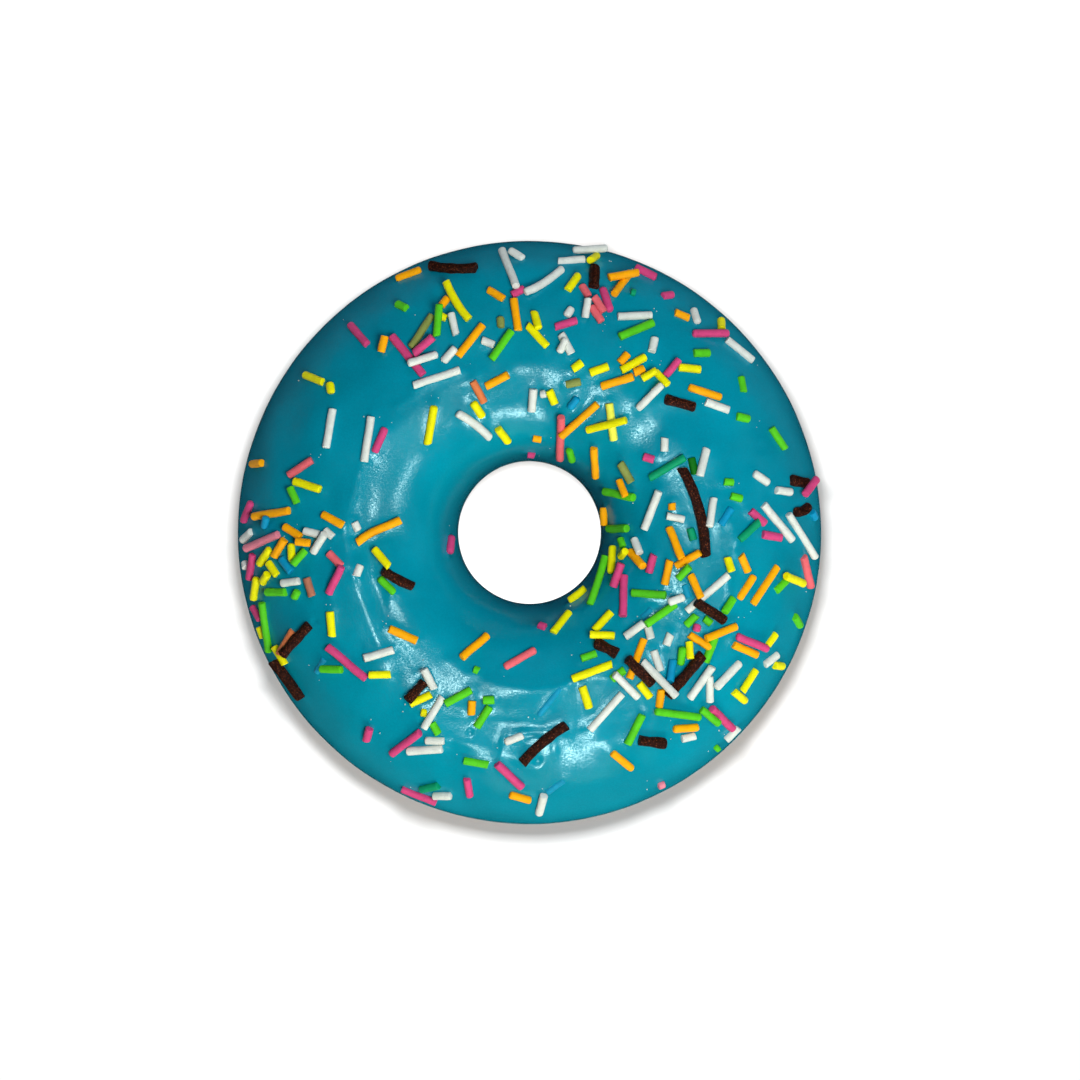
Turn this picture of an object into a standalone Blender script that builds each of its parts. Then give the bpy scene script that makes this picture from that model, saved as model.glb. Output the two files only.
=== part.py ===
"""An iced ring doughnut: a ring of fried dough, and the icing with the sprinkles set in it.

Metres, +Z up, resting on z = 0, with the axis of the hole on the Z axis. Seen from above with
+Y at the top, a bearing is counted in degrees anticlockwise from +X. A turn is the angle round
the ring's section: 0 at the outer waist, 90 degrees at the crest, 180 at the waist in the hole.
"""

import math
from collections import namedtuple

import bmesh
import bpy
import numpy as np

MM = 0.001

# The ring, whose widest part is the icing
RING_RADIUS = 45.0 * MM
HOLE_RADIUS = 11.0 * MM
RING_HEIGHT = 30.0 * MM
WAIST_HEIGHT = 13.0 * MM
BELLY_DEPTH = 18.0 * MM  # from the waist to where the section would end if it didn't sit flat
BASE_SOFTNESS = 1.4 * MM
PLUMPNESS = 0.94  # below 1 the section is squarer than an ellipse
LEAN = 2.4 * MM  # how far the crest lies towards the hole from the middle of the ring

ICING_DEPTH = 1.2 * MM
ICING_GAP = 0.3 * MM
RIM_TURN = math.radians(11)  # how far below the waist the icing ends, on average
RIM_ROUNDING = math.radians(2.5)
RIM_DEPTHS = (0.8, 0.4)  # shares of the icing's depth at the rim and just past it

SMALL_TURN = 0.02  # over which the way the skin faces is measured
TURNS_TRIED = 361  # to find the turn at a place of the plan

MIDDLE = (RING_RADIUS + HOLE_RADIUS) / 2
ICED_HALF_WIDTH = (RING_RADIUS - HOLE_RADIUS) / 2
DOUGH_HALF_WIDTH = ICED_HALF_WIDTH - ICING_GAP - ICING_DEPTH
CROWN_RISE = RING_HEIGHT - WAIST_HEIGHT - ICING_GAP - ICING_DEPTH

# Where the icing lies thicker or thinner than its depth: bearing, distance from the axis, half
# length round the ring, half width across it, height. Degrees and millimetres.
SWELLS = (
    (184, 28.6, 10.0, 1.9, 0.40), (190, 25.2, 10.0, 1.7, -0.50), (203, 22.6, 9.0, 1.8, 0.25),
    (226, 27.2, 6.0, 2.0, -0.25), (252, 33.8, 8.0, 2.4, 0.35), (262, 29.4, 9.0, 2.0, -0.45),
    (268, 24.6, 8.0, 1.8, 0.25), (275, 36.2, 1.8, 3.4, -0.35), (293, 34.4, 6.0, 2.4, 0.30),
    (345, 31.4, 8.0, 2.6, 0.35), (352, 27.2, 7.0, 1.8, -0.35), (100, 25.4, 9.0, 2.2, 0.25),
    (140, 25.6, 7.0, 2.0, 0.20), (48, 26.2, 3.4, 1.6, 0.20), (31, 26.6, 2.6, 1.6, 0.20),
)
# Slow waves: how many round the ring, phase, height in millimetres
TOP_WAVES = ((2, 0.6, 0.22), (5, 2.1, 0.12))
BELLY_WAVES = ((3, 1.0, 0.35), (7, 0.2, 0.18))
# Waves of the icing's lower edge: how many round the ring, phase, degrees of turn
OUTER_RIM_WAVES = ((3, 0.4, 3.5), (5, 1.9, 2.5), (8, 0.7, 1.5))
INNER_RIM_WAVES = ((2, 1.2, 3.5), (5, 0.1, 2.5))
# Runs of icing that ended lower: bearing, half width, degrees of turn
RUNS = ((38, 7, 7), (121, 8, 8), (206, 7, 6), (297, 9, 8))

# Sprinkles
SUGAR_RADIUS = 0.63 * MM
CHOCOLATE_RADIUS = 0.82 * MM
UNEVENNESS = 0.05  # of the radii
SINK = 0.30 * MM  # how deep a sprinkle sits in the icing
TOUCH = 0.88  # how close two sprinkles lie, as a share of their radii together
BESIDE = 3 * MM  # round a sprinkle, where others may be in its way
HIGHEST_LIFT = 1.9 * MM
STEEPEST = 0.30
DRAW_SEED = 11

# Where each sprinkle lies, in the order of the laying: colour, bearing and distance of one end,
# the same of the other, and how far the middle of a long one bows outwards. Degrees and
# millimetres. Colours: c chocolate, w white, y yellow, l pale yellow, o orange, s salmon orange,
# p pink, r salmon, f pale pink, g green, d dark green, t teal green, b blue, k olive, n tan.
SPRINKLES = (
    ("g", 194.7, 42.6, 204.6, 44.5), ("y", 204, 43.9, 208.4, 43.7), ("s", 202.3, 39.6, 206.2, 42.9),
    ("g", 196.6, 24, 204.4, 22.7), ("y", 235.2, 32.1, 238.7, 29), ("g", 299.2, 25.8, 304.8, 25.6),
    ("o", 304.3, 27.2, 317.3, 23.9), ("w", 333.3, 27, 348.1, 31.2), ("g", 323.5, 33.6, 330.5, 32.6),
    ("o", 306.5, 33.4, 310.2, 31.4), ("d", 19.5, 26.9, 24.8, 27.3), ("b", 2.8, 44.3, 4.2, 43.6),
    ("w", 358.1, 40.4, 366.9, 36.2), ("p", 91.3, 37.4, 94.3, 36.5), ("k", 114, 36.6, 122.8, 33.6),
    ("p", 125, 36.8, 124, 29.1), ("l", 47.5, 19.2, 58.4, 23.2), ("r", 74.7, 18.2, 67.5, 12.3),
    ("g", 18.4, 16.8, 28.8, 13.1), ("r", 71.1, 34.1, 74.6, 36),
    ("w", 76.7, 28.1, 81, 30.8), ("w", 316.8, 38, 321.5, 35.3), ("r", 185.7, 31, 190.2, 29.2),
    ("y", 186.5, 40.4, 189.7, 39.3), ("o", 109.3, 38.1, 111.3, 37.3), ("y", 111.2, 35.2, 112.7, 36),
    ("g", 346.6, 38.9, 349.8, 40.3), ("p", 358.7, 39.2, 359.6, 35.8), ("y", 333.2, 13.9, 351, 13),
    ("w", 306.4, 39.4, 309.2, 40.3), ("w", 100.6, 29.2, 103.9, 30.4), ("o", 96.2, 36, 99.7, 37.8),
    ("c", 5.5, 43.9, 4.2, 41.2, 0.3), ("c", 10, 43.3, 11.3, 41.2),
    ("c", 352.2, 27.3, 383, 25.3, 0.9), ("c", 36.9, 31.9, 44.7, 29.1), ("c", 76.2, 42, 75.3, 39),
    ("c", 101.3, 41.6, 110.5, 43.9, -0.5), ("c", 206.5, 44.3, 216, 43.9),
    ("c", 206.6, 42.7, 202.5, 37.4), ("c", 194.4, 23.2, 205, 19.6, 0.2), ("c", 234, 31.9, 235, 28),
    ("c", 268.1, 35.4, 281, 30.1, -0.4), ("c", 302.8, 38.6, 297.8, 36),
    ("c", 305.9, 23, 300.9, 19.6), ("c", 310, 33, 325, 32.5), ("c", 309, 30.1, 307.8, 24.3),
    ("c", 335.6, 33, 337.5, 27.5), ("w", 355, 43.9, 364, 40.3), ("p", 7.8, 42.7, 10.6, 44.2),
    ("w", 8.8, 40.7, 9.7, 38.4), ("w", 11.5, 37.5, 14.9, 35.6), ("g", 18.1, 41.3, 23.4, 40.5),
    ("g", 33.2, 39.3, 36.3, 40.3), ("g", 27.3, 37.9, 29.3, 36.4), ("p", 2.1, 36.2, 5.6, 34),
    ("t", 357.8, 32.3, 362.8, 35.3), ("g", 9, 33, 10.3, 31.3), ("g", 13.8, 32.2, 14.6, 30.8),
    ("b", 2.3, 29.3, 6.8, 31.2), ("w", 1.8, 27.5, 10.6, 28.8), ("w", 18.3, 27.4, 25.3, 30.1),
    ("t", 25.8, 26.5, 24.4, 20.2), ("w", 30.9, 24.1, 35, 25.3), ("p", 30.2, 22.1, 33.6, 21),
    ("o", 8.8, 22.1, 11.6, 22.3), ("w", 4.6, 23.8, 7, 21.2), ("w", 1.3, 17.6, 17.8, 20.8),
    ("k", 26, 17.4, 37.5, 17.5), ("o", 20.6, 16, 30.6, 15.6), ("g", 2.3, 15, 2.6, 11.6),
    ("o", 5.2, 11.6, 18.6, 11.6), ("o", 39.7, 13.3, 52.8, 16.2), ("g", 58.5, 11.8, 64.8, 12.8),
    ("w", 37.5, 43.3, 44.4, 42.5), ("y", 46.5, 43, 48, 44.6), ("p", 44.7, 42.9, 50.9, 39.8),
    ("g", 44.9, 39, 47.5, 37.3), ("w", 51.2, 41.3, 53.8, 42.6), ("o", 53.2, 41.2, 56.6, 40.7),
    ("p", 59, 42.6, 60.6, 41.7), ("p", 63.6, 43.8, 68.2, 44.6), ("g", 59.4, 37.4, 65.3, 33),
    ("w", 60.6, 38.2, 67.8, 35.8), ("w", 31.4, 35.9, 36.6, 33.6), ("o", 35, 36, 42.5, 33),
    ("y", 43.6, 36.2, 48, 34.1), ("p", 49.1, 35.1, 49, 31.8), ("y", 46.8, 31, 52, 31.5),
    ("w", 48.1, 30.5, 48.8, 25.1), ("y", 51.8, 31.6, 53.8, 29.2), ("w", 55.9, 33.4, 57.2, 35.5),
    ("o", 55, 30.7, 56.8, 29.2), ("y", 56.6, 32.2, 60.5, 28.5), ("o", 61.1, 31.3, 62, 29.4),
    ("o", 56.3, 28.7, 63.8, 24.9), ("y", 64.6, 28.2, 69.2, 26.1), ("y", 72.8, 27.3, 75.2, 25.8),
    ("k", 71.2, 24.4, 76.1, 23.3), ("y", 49.4, 23, 60.6, 17.8), ("o", 61.6, 22.2, 72.5, 15.4),
    ("b", 70.2, 21.8, 72.4, 19.6), ("y", 78.6, 20, 82.2, 22), ("w", 83.3, 21.5, 85.2, 21.2),
    ("w", 88.4, 22, 89, 18.5), ("o", 82.8, 14.4, 88, 14.5), ("p", 86, 11.8, 91.5, 12),
    ("o", 68.8, 43, 70.5, 38.6), ("o", 66.9, 42.8, 73, 41.5), ("t", 66.1, 40.2, 67.2, 40.1),
    ("y", 76.3, 43.9, 77.5, 42.2),
    ("w", 74.5, 44.6, 81.3, 44.1), ("w", 78.4, 43.5, 84.2, 42.7), ("y", 79.3, 40.1, 81.1, 37.6),
    ("p", 70, 36.8, 73.4, 39.7), ("r", 75.9, 37.6, 78, 39), ("r", 71.3, 35.9, 74.7, 37.5),
    ("w", 75.4, 34.1, 76, 37.1), ("w", 79.3, 35.1, 80.3, 33.6), ("p", 77.4, 33.4, 83, 31.8),
    ("w", 79.2, 30.2, 80.7, 27.9), ("y", 84.5, 28.6, 90.6, 31.8), ("y", 87.4, 31.2, 88.8, 33.9),
    ("w", 82.8, 41, 91.2, 36.8, -0.4), ("w", 95.6, 43.7, 93.1, 37.8), ("w", 91, 42.4, 94.3, 43.3),
    ("o", 93.9, 36, 93.2, 31), ("k", 97.7, 33.4, 97.9, 31.6), ("g", 95, 31.1, 102.5, 27.1),
    ("o", 102.5, 32.7, 112.2, 29.1), ("y", 108.6, 40.6, 105.6, 34, -0.3),
    ("o", 112.4, 43.8, 117.8, 44.7), ("w", 109.7, 35.7, 110.4, 32.3),
    ("g", 111.3, 37.6, 115.6, 33.4), ("w", 111.7, 30.5, 117, 29.3), ("p", 116.2, 33.3, 122.9, 32.7),
    ("w", 117.2, 30.9, 125.9, 31.7), ("w", 113.1, 27.1, 128.4, 28.7),
    ("o", 126.2, 37.2, 129.6, 35.8), ("g", 118.7, 39.2, 120.1, 40.6),
    ("p", 130.8, 42.2, 130.8, 38.1), ("o", 97.6, 24.4, 106.8, 23.3), ("s", 110.6, 24.8, 109.1, 21),
    ("y", 113.6, 21.8, 111.9, 19), ("y", 107, 16.7, 103.2, 14.2),
    ("w", 121.3, 21.4, 112.5, 15.6, 0.3), ("y", 126.9, 24.3, 139.4, 20.6),
    ("y", 145, 42.2, 143.9, 39.2), ("y", 143.1, 38.4, 145, 37.1), ("w", 147.8, 35.6, 157.5, 33.8),
    ("p", 144, 27.3, 152.8, 26.7), ("w", 143.8, 30.1, 156.9, 27.5), ("o", 166.2, 44.6, 165.4, 42.4),
    ("p", 173.7, 43.1, 178, 44.6), ("o", 176.8, 42.5, 174.7, 37), ("b", 176.6, 40.4, 179, 41.2),
    ("r", 161.5, 35.1, 166.7, 38), ("y", 167.7, 37, 168.4, 32.7), ("g", 169.2, 37.3, 173, 36),
    ("o", 175, 31.9, 177.8, 28.5), ("w", 176.6, 26.9, 179.4, 26.2),
    ("o", 183.5, 26.5, 174.5, 19.8, 0.3), ("w", 179.8, 42.9, 181.6, 44.6),
    ("f", 183.4, 43.7, 180.3, 38.6), ("o", 178.6, 37.6, 181.2, 35), ("w", 179.6, 34.6, 180.6, 32.2),
    ("w", 179.3, 31.4, 181.4, 30.1), ("w", 180.3, 31.2, 185.3, 33.5),
    ("p", 184.5, 42.7, 189.5, 43.7), ("w", 186, 44.6, 187.2, 43.8), ("y", 189.4, 43, 193.8, 44.3),
    ("p", 195, 44.6, 198, 43.6), ("y", 199.2, 44.5, 201.6, 44.4), ("y", 183.5, 39.9, 186.9, 41.9),
    ("y", 188.8, 40.6, 190.8, 42.1), ("g", 192.8, 41.4, 193.8, 38.5),
    ("o", 181.6, 37.6, 185.5, 39.4), ("b", 185.8, 38.6, 189.6, 37.2),
    ("w", 191.6, 38.8, 191.9, 36.1), ("g", 194, 36.6, 195.8, 37.6), ("y", 182.6, 36.7, 187, 36.8),
    ("g", 184.3, 34.7, 188, 36.7), ("o", 182.2, 36, 182.8, 33.6), ("n", 191.5, 34.9, 196.4, 34.7),
    ("p", 190.3, 29.1, 196.9, 32.3), ("w", 190.9, 26.4, 194.2, 27.4),
    ("y", 185.9, 23.9, 193.8, 22.2), ("p", 182.5, 11.6, 194.5, 12.6),
    ("y", 201.6, 32.9, 207.8, 34.2), ("g", 213.2, 38.3, 216.2, 35.6),
    ("p", 209.4, 35.6, 221.9, 33.6), ("y", 221.5, 32.9, 225.8, 30.5),
    ("w", 217.2, 31.9, 220.9, 27.5), ("o", 214.4, 26.1, 224, 23.9), ("p", 230.8, 38.8, 231.9, 40.6),
    ("w", 232.2, 26.4, 238.7, 28.1), ("p", 238.1, 40.2, 241.3, 34.8),
    ("w", 240.9, 38.4, 248.1, 35.8), ("w", 243.5, 35.7, 247.8, 34.5),
    ("y", 238.8, 32.2, 240.5, 31.9), ("g", 242.8, 32.8, 245.8, 34), ("w", 241.6, 34.2, 242.2, 28.5),
    ("g", 243.8, 29.3, 249.7, 25.7), ("o", 251.2, 27.2, 252.3, 29.4), ("g", 254.8, 31, 257.2, 27.3),
    ("g", 254.5, 26.7, 258.2, 26.2), ("g", 247.8, 22.6, 250, 22.6), ("o", 241.6, 21.8, 247.8, 17),
    ("g", 253.9, 36.4, 260, 36.2), ("t", 247, 42.9, 250.3, 41.4), ("w", 250, 43.1, 253.4, 42.3),
    ("p", 255.7, 39, 257.3, 41.5), ("p", 243.5, 44.5, 251, 44.7), ("p", 261.9, 35.8, 268.4, 39.2),
    ("o", 265.6, 40.4, 270.4, 41.2), ("w", 263.3, 32.4, 268.3, 31.1), ("r", 259.4, 21, 273.1, 18),
    ("p", 275.8, 14.3, 279.8, 14.8), ("w", 271.9, 43.2, 273.2, 40.5), ("w", 286.9, 31.7, 300, 28.5),
    ("y", 288.8, 28.5, 288.9, 24.9), ("y", 286.3, 23.4, 302.2, 23.8),
    ("g", 292.2, 20.9, 299.1, 21.2), ("y", 283.1, 15.8, 296.6, 13.7), ("o", 293.5, 39.6, 290.5, 36),
    ("g", 294.7, 35.8, 301.9, 32.9), ("f", 296.9, 43.8, 298.2, 43.9), ("o", 306.1, 37.4, 311, 39.6),
    ("g", 312.8, 39, 305, 33.2), ("g", 310.4, 44.5, 311.6, 44.3), ("w", 313.4, 44.6, 317, 44.3),
    ("p", 316, 43.7, 316, 39), ("g", 314.8, 41.3, 314.1, 37.8), ("w", 314, 35.6, 323.8, 34.6),
    ("w", 320, 37, 328.4, 38.2), ("y", 322, 42.1, 322.1, 39.7), ("y", 323.2, 40.6, 328.8, 40.9),
    ("y", 332.2, 44.6, 331.5, 42.9), ("w", 330.6, 41.5, 333.8, 42.5),
    ("y", 334.6, 40.5, 337.7, 40.9), ("o", 331.7, 39.8, 331.2, 35.7),
    ("p", 333.9, 40.8, 333.4, 35.5), ("g", 341, 44.6, 342.4, 42.8), ("r", 349, 44, 355, 42.4),
    ("y", 349.4, 42.8, 350.4, 39.5), ("o", 342.2, 36, 352.2, 38.4), ("o", 342.3, 33.7, 349.2, 35.1),
    ("o", 349.7, 34.1, 353.9, 32.6), ("g", 337.7, 32.3, 342.2, 33), ("y", 349, 31.5, 352.8, 30.6),
    ("y", 321.8, 31.4, 325.7, 29.7), ("g", 318.7, 30.9, 323.2, 29.2),
    ("b", 313.2, 31.3, 318.5, 29.4), ("w", 313.4, 29.3, 316.5, 26.2),
    ("w", 311.9, 33.8, 311.3, 26.3), ("y", 306.2, 31.4, 306, 28.5), ("w", 303.4, 30.5, 300.9, 25.1),
    ("o", 335.6, 35.2, 329, 31.3), ("o", 327.5, 32.9, 327.4, 29), ("w", 320.4, 27.2, 324.3, 26.6),
    ("w", 318.8, 24.8, 321.6, 23.1), ("w", 312.4, 21.6, 322, 22.5), ("g", 329.3, 27.9, 333.7, 28.6),
    ("g", 333.3, 31.2, 333.9, 29.8), ("p", 329.2, 29.7, 331.4, 29.4), ("g", 321.6, 22.8, 334, 24.9),
    ("w", 333.2, 23.8, 337.4, 25.7), ("g", 335.3, 23, 329.4, 18.2), ("o", 339.2, 28.1, 345.2, 25.5),
    ("g", 342.6, 23.8, 348, 25.1), ("o", 347, 23, 353.4, 26.4), ("o", 338.8, 22.2, 348.8, 22),
    ("o", 350.3, 23.8, 362, 21.3), ("t", 357.3, 25.2, 361.5, 24.6), ("y", 300.3, 18.4, 309.8, 20.5),
    ("y", 303.5, 18, 316, 17.5), ("p", 317.8, 19.2, 335.9, 16), ("p", 326.3, 14.9, 341.6, 15),
    ("g", 309.4, 14.3, 342, 13, 0.2), ("y", 299.7, 12.1, 315.3, 12.1, 0.2),
    ("p", 341.2, 19.3, 349.9, 19.4), ("o", 343.4, 18.4, 349.4, 15.6),
    ("w", 349.2, 16.9, 356.6, 15.6), ("y", 344.2, 13.4, 349.6, 14.7), ("g", 350.9, 14.6, 356.3, 14),
)

# How finely the solids are cut
BEARINGS = 48
DOUGH_TURNS = 18
ICING_TOP_ROWS = 13
ICING_UNDER_ROWS = 12
STATIONS = 7
LEAST_FUSED = 2.4 * MM  # shorter sprinkles are left out of the solid
SUGAR_SIDES = 5
CHOCOLATE_SIDES = 6

Sprinkle = namedtuple("Sprinkle", "colour radius path up")


def material(name, colour, roughness):
    made = bpy.data.materials.new(name)
    made.use_nodes = True
    shader = made.node_tree.nodes["Principled BSDF"]
    shader.inputs["Base Color"].default_value = (*colour, 1.0)
    shader.inputs["Roughness"].default_value = roughness
    shader.inputs["Metallic"].default_value = 0.0
    return made


def bent(value, power):
    """The value raised to a power, with its sign kept."""
    return np.sign(value) * np.abs(value) ** power


def waves(bearing, terms):
    return sum(size * np.sin(count * bearing + phase) for count, phase, size in terms)


def around(bearing, degrees):
    """The angle from a bearing in degrees to this one in radians, between -pi and pi."""
    return (bearing - math.radians(degrees) + math.pi) % math.tau - math.pi


def dough_swelling(bearing, turn):
    """How far the dough stands out of the even section. It dies out at the waist, so that the
    ring is round seen from above."""
    lift = np.where(np.sin(turn) > 0, waves(bearing, TOP_WAVES), waves(bearing, BELLY_WAVES))
    return lift * MM * np.sin(turn) ** 2


def plan_distance(turn, half_width):
    """How far from the axis the even section is at a turn."""
    lean = LEAN * np.clip(np.sin(turn), 0, 1) ** 2
    return MIDDLE + half_width * bent(np.cos(turn), PLUMPNESS) - lean


def icing_depth(bearing, turn):
    distance = plan_distance(turn, ICED_HALF_WIDTH)
    swell = 0.0
    for degrees, reach, length, width, height in SWELLS:
        along = around(bearing, degrees) * distance / (length * MM)
        across = (distance - reach * MM) / (width * MM)
        swell = swell + height * np.exp(-(along**2) - across**2)
    return ICING_DEPTH + swell * MM * np.clip(np.sin(turn), 0, 1) ** 2


def settled(height):
    """Heights with what would be below the ground brought up to it, and a soft turn there."""
    turning = (height + BASE_SOFTNESS) ** 2 / (4 * BASE_SOFTNESS)
    return np.where(height > BASE_SOFTNESS, height, np.where(height < -BASE_SOFTNESS, 0.0, turning))


def dough_skin(bearing, turn):
    """Points of the dough's skin, for arrays or single values of bearing and turn."""
    lift = dough_swelling(bearing, turn)
    rise = bent(np.sin(turn), PLUMPNESS)
    distance = plan_distance(turn, DOUGH_HALF_WIDTH) + lift * np.cos(turn)
    height = WAIST_HEIGHT + rise * np.where(rise > 0, CROWN_RISE, BELLY_DEPTH) + lift * np.sin(turn)
    x, y = distance * np.cos(bearing), distance * np.sin(bearing)
    return np.stack([x, y, settled(height)], axis=-1)


def unit(vector):
    return vector / np.linalg.norm(vector, axis=-1, keepdims=True)


def skin_normal(bearing, turn):
    ahead = dough_skin(bearing + SMALL_TURN, turn) - dough_skin(bearing - SMALL_TURN, turn)
    upward = dough_skin(bearing, turn + SMALL_TURN) - dough_skin(bearing, turn - SMALL_TURN)
    return unit(np.cross(ahead, upward))


def icing_skin(bearing, turn, depth=1.0):
    """Points at this share of the icing's depth, from its underside to its top."""
    lift = ICING_GAP + icing_depth(bearing, turn) * depth
    return dough_skin(bearing, turn) + skin_normal(bearing, turn) * lift[..., None]


def rim_turns(bearing):
    """The turns between which the icing reaches: its lower edge outside, and in the hole."""
    runs = 0.0
    for degrees, half, size in RUNS:
        runs = runs + size * np.exp(-((around(bearing, degrees) / math.radians(half)) ** 2))
    outer = RIM_TURN + np.radians(waves(bearing, OUTER_RIM_WAVES) + runs)
    inner = RIM_TURN + np.radians(waves(bearing, INNER_RIM_WAVES))
    return -outer, math.pi + inner


def ring_mesh(name, points):
    """A closed skin through a grid of points, which closes on itself round the ring and round
    its section."""
    count, turns = points.shape[:2]
    shape = bmesh.new()
    grid = [[shape.verts.new(point) for point in loop] for loop in points]
    for i in range(count):
        ahead = grid[(i + 1) % count]
        for j in range(turns):
            above = (j + 1) % turns
            shape.faces.new((grid[i][j], ahead[j], ahead[above], grid[i][above]))
    return finished_mesh(name, shape)


def finished_mesh(name, shape):
    bmesh.ops.recalc_face_normals(shape, faces=shape.faces)
    mesh = bpy.data.meshes.new(name)
    shape.to_mesh(mesh)
    shape.free()
    return mesh


def add_object(name, mesh, finish, collection):
    made = bpy.data.objects.new(name, mesh)
    mesh.materials.append(finish)
    collection.objects.link(made)
    return made


def ring_bearings():
    return np.arange(BEARINGS) * math.tau / BEARINGS


def make_dough():
    turns = np.arange(DOUGH_TURNS) * math.tau / DOUGH_TURNS
    bearing, turn = np.meshgrid(ring_bearings(), turns, indexing="ij")
    finish = material("fried dough", (0.55, 0.25, 0.08), 0.6)
    mesh = ring_mesh("dough", dough_skin(bearing, turn))
    add_object("dough", mesh, finish, bpy.context.collection)
    mesh.shade_smooth()


def icing_section():
    """The icing's section as shares of the way from the outer rim to the inner one, how far each
    point lies past a rim, and its share of the icing's depth: over the top and back underneath."""
    over = [(row / ICING_TOP_ROWS, 0.0, 1.0) for row in range(ICING_TOP_ROWS + 1)]
    at_rim, past_rim = RIM_DEPTHS
    over[0], over[-1] = (0.0, 0.0, at_rim), (1.0, 0.0, at_rim)
    under = [(1 - row / ICING_UNDER_ROWS, 0.0, 0.0) for row in range(ICING_UNDER_ROWS + 1)]
    return np.array([*over, (1.0, 1.0, past_rim), *under, (0.0, -1.0, past_rim)])


def make_icing():
    share, past, depth = icing_section().T
    bearing = ring_bearings()[:, None]
    outer, inner = rim_turns(bearing)
    turn = outer + (inner - outer) * share + past * RIM_ROUNDING
    points = icing_skin(bearing + 0 * turn, turn, depth)
    finish = material("teal icing", (0.0, 0.25, 0.36), 0.3)
    return add_object("icing", ring_mesh("icing", points), finish, bpy.context.collection)


def icing_top(x, y):
    """The point of the icing straight below a place of the plan, and the way it faces."""
    turns = np.linspace(0, math.pi, TURNS_TRIED)
    turn = np.interp(-np.hypot(x, y), -plan_distance(turns, ICED_HALF_WIDTH), turns)
    bearing = np.arctan2(y, x)
    return icing_skin(bearing, turn), skin_normal(bearing, turn)


def height_over_icing(points, up):
    """How far these points are above the icing, measured along up."""
    rise = bent((points[:, 2] - WAIST_HEIGHT) / (RING_HEIGHT - WAIST_HEIGHT), 1 / PLUMPNESS)
    distance = np.hypot(points[:, 0], points[:, 1]) + LEAN * np.clip(rise, 0, 1) ** 2
    reach = bent((distance - MIDDLE) / ICED_HALF_WIDTH, 1 / PLUMPNESS)
    turn = np.arctan2(rise, reach)
    bearing = np.arctan2(points[:, 1], points[:, 0])
    return (points - icing_skin(bearing, turn)) @ up


def height_for(points, radius, walls, up):
    """How far each of these points has to rise along up for a sprinkle there to lie on others.
    The walls are the others' straight stretches: starts, lines to their ends, and radii."""
    start, line, radii = walls
    touching = (radius + radii) * TOUCH
    flat_line = line - np.outer(line @ up, up)
    gap = points[:, None] - start
    flat_gap = gap - (gap @ up)[..., None] * up
    along = np.clip((flat_gap * flat_line).sum(-1) / (flat_line**2).sum(-1), 0, 1)[..., None]
    beside = np.linalg.norm(flat_gap - along * flat_line, axis=-1)
    rise = (along * line - gap) @ up
    lying = rise + np.sqrt(np.maximum(touching**2 - beside**2, 0))
    return np.where(beside < touching, lying, -1.0).max(axis=1)


def stretches(laid):
    """The straight stretches of these sprinkles, two for each: starts, lines and radii."""
    paths = np.array([sprinkle.path[[0, STATIONS // 2, -1]] for sprinkle in laid])
    start, end = paths[:, :-1].reshape(-1, 3), paths[:, 1:].reshape(-1, 3)
    return start, end - start, np.repeat([sprinkle.radius for sprinkle in laid], 2)


def resting_line(places, heights):
    """Height at the middle and slope of the straight rod that lies on these heights."""
    before = [k for k in range(len(places)) if places[k] <= 0]
    after = [k for k in range(len(places)) if places[k] > 0]
    best = (-1.0, 0.0)
    for i in before:
        for j in after:
            slope = (heights[j] - heights[i]) / (places[j] - places[i])
            best = max(best, (heights[i] - slope * places[i], slope))
    return best


def near(laid, middle, reach):
    """The sprinkles laid so far that come within this reach of a place."""
    return [other for other in laid if np.linalg.norm(other.path - middle, axis=1).min() < reach]


def rest(colour, radius, middle, along, up, length, bow, laid):
    """A sprinkle of this length at rest on the icing and on the sprinkles laid before it, never
    too steep, or in between them where they would hold it up too high."""
    along = unit(along - up * (along @ up))
    side = np.cross(up, along)
    half = length / 2
    places = np.linspace(-half, half, STATIONS)
    bowed = bow * (1 - (places / half) ** 2)
    line = middle + np.outer(places, along) + np.outer(bowed, side)
    bare = radius - SINK - height_over_icing(line, up)
    below = near(laid, middle, half + BESIDE)
    heights = np.maximum(bare, height_for(line, radius, stretches(below), up)) if below else bare
    on_icing = resting_line(places, bare)
    slope = min(max(resting_line(places, heights)[1], -STEEPEST), STEEPEST)
    height = (heights - slope * places).max()
    if height - on_icing[0] > HIGHEST_LIFT:
        height, slope = on_icing
    return Sprinkle(colour, radius, line + np.outer(height + slope * places, up), up)


def on_plan(bearing, distance, radius):
    """A place of the plan, kept far enough inside the ring's edges for a sprinkle to lie there."""
    proud = 2 * radius - SINK
    distance = min(max(distance * MM, HOLE_RADIUS + proud), RING_RADIUS - proud)
    heading = math.radians(bearing)
    return np.array([distance * math.cos(heading), distance * math.sin(heading)])


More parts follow.
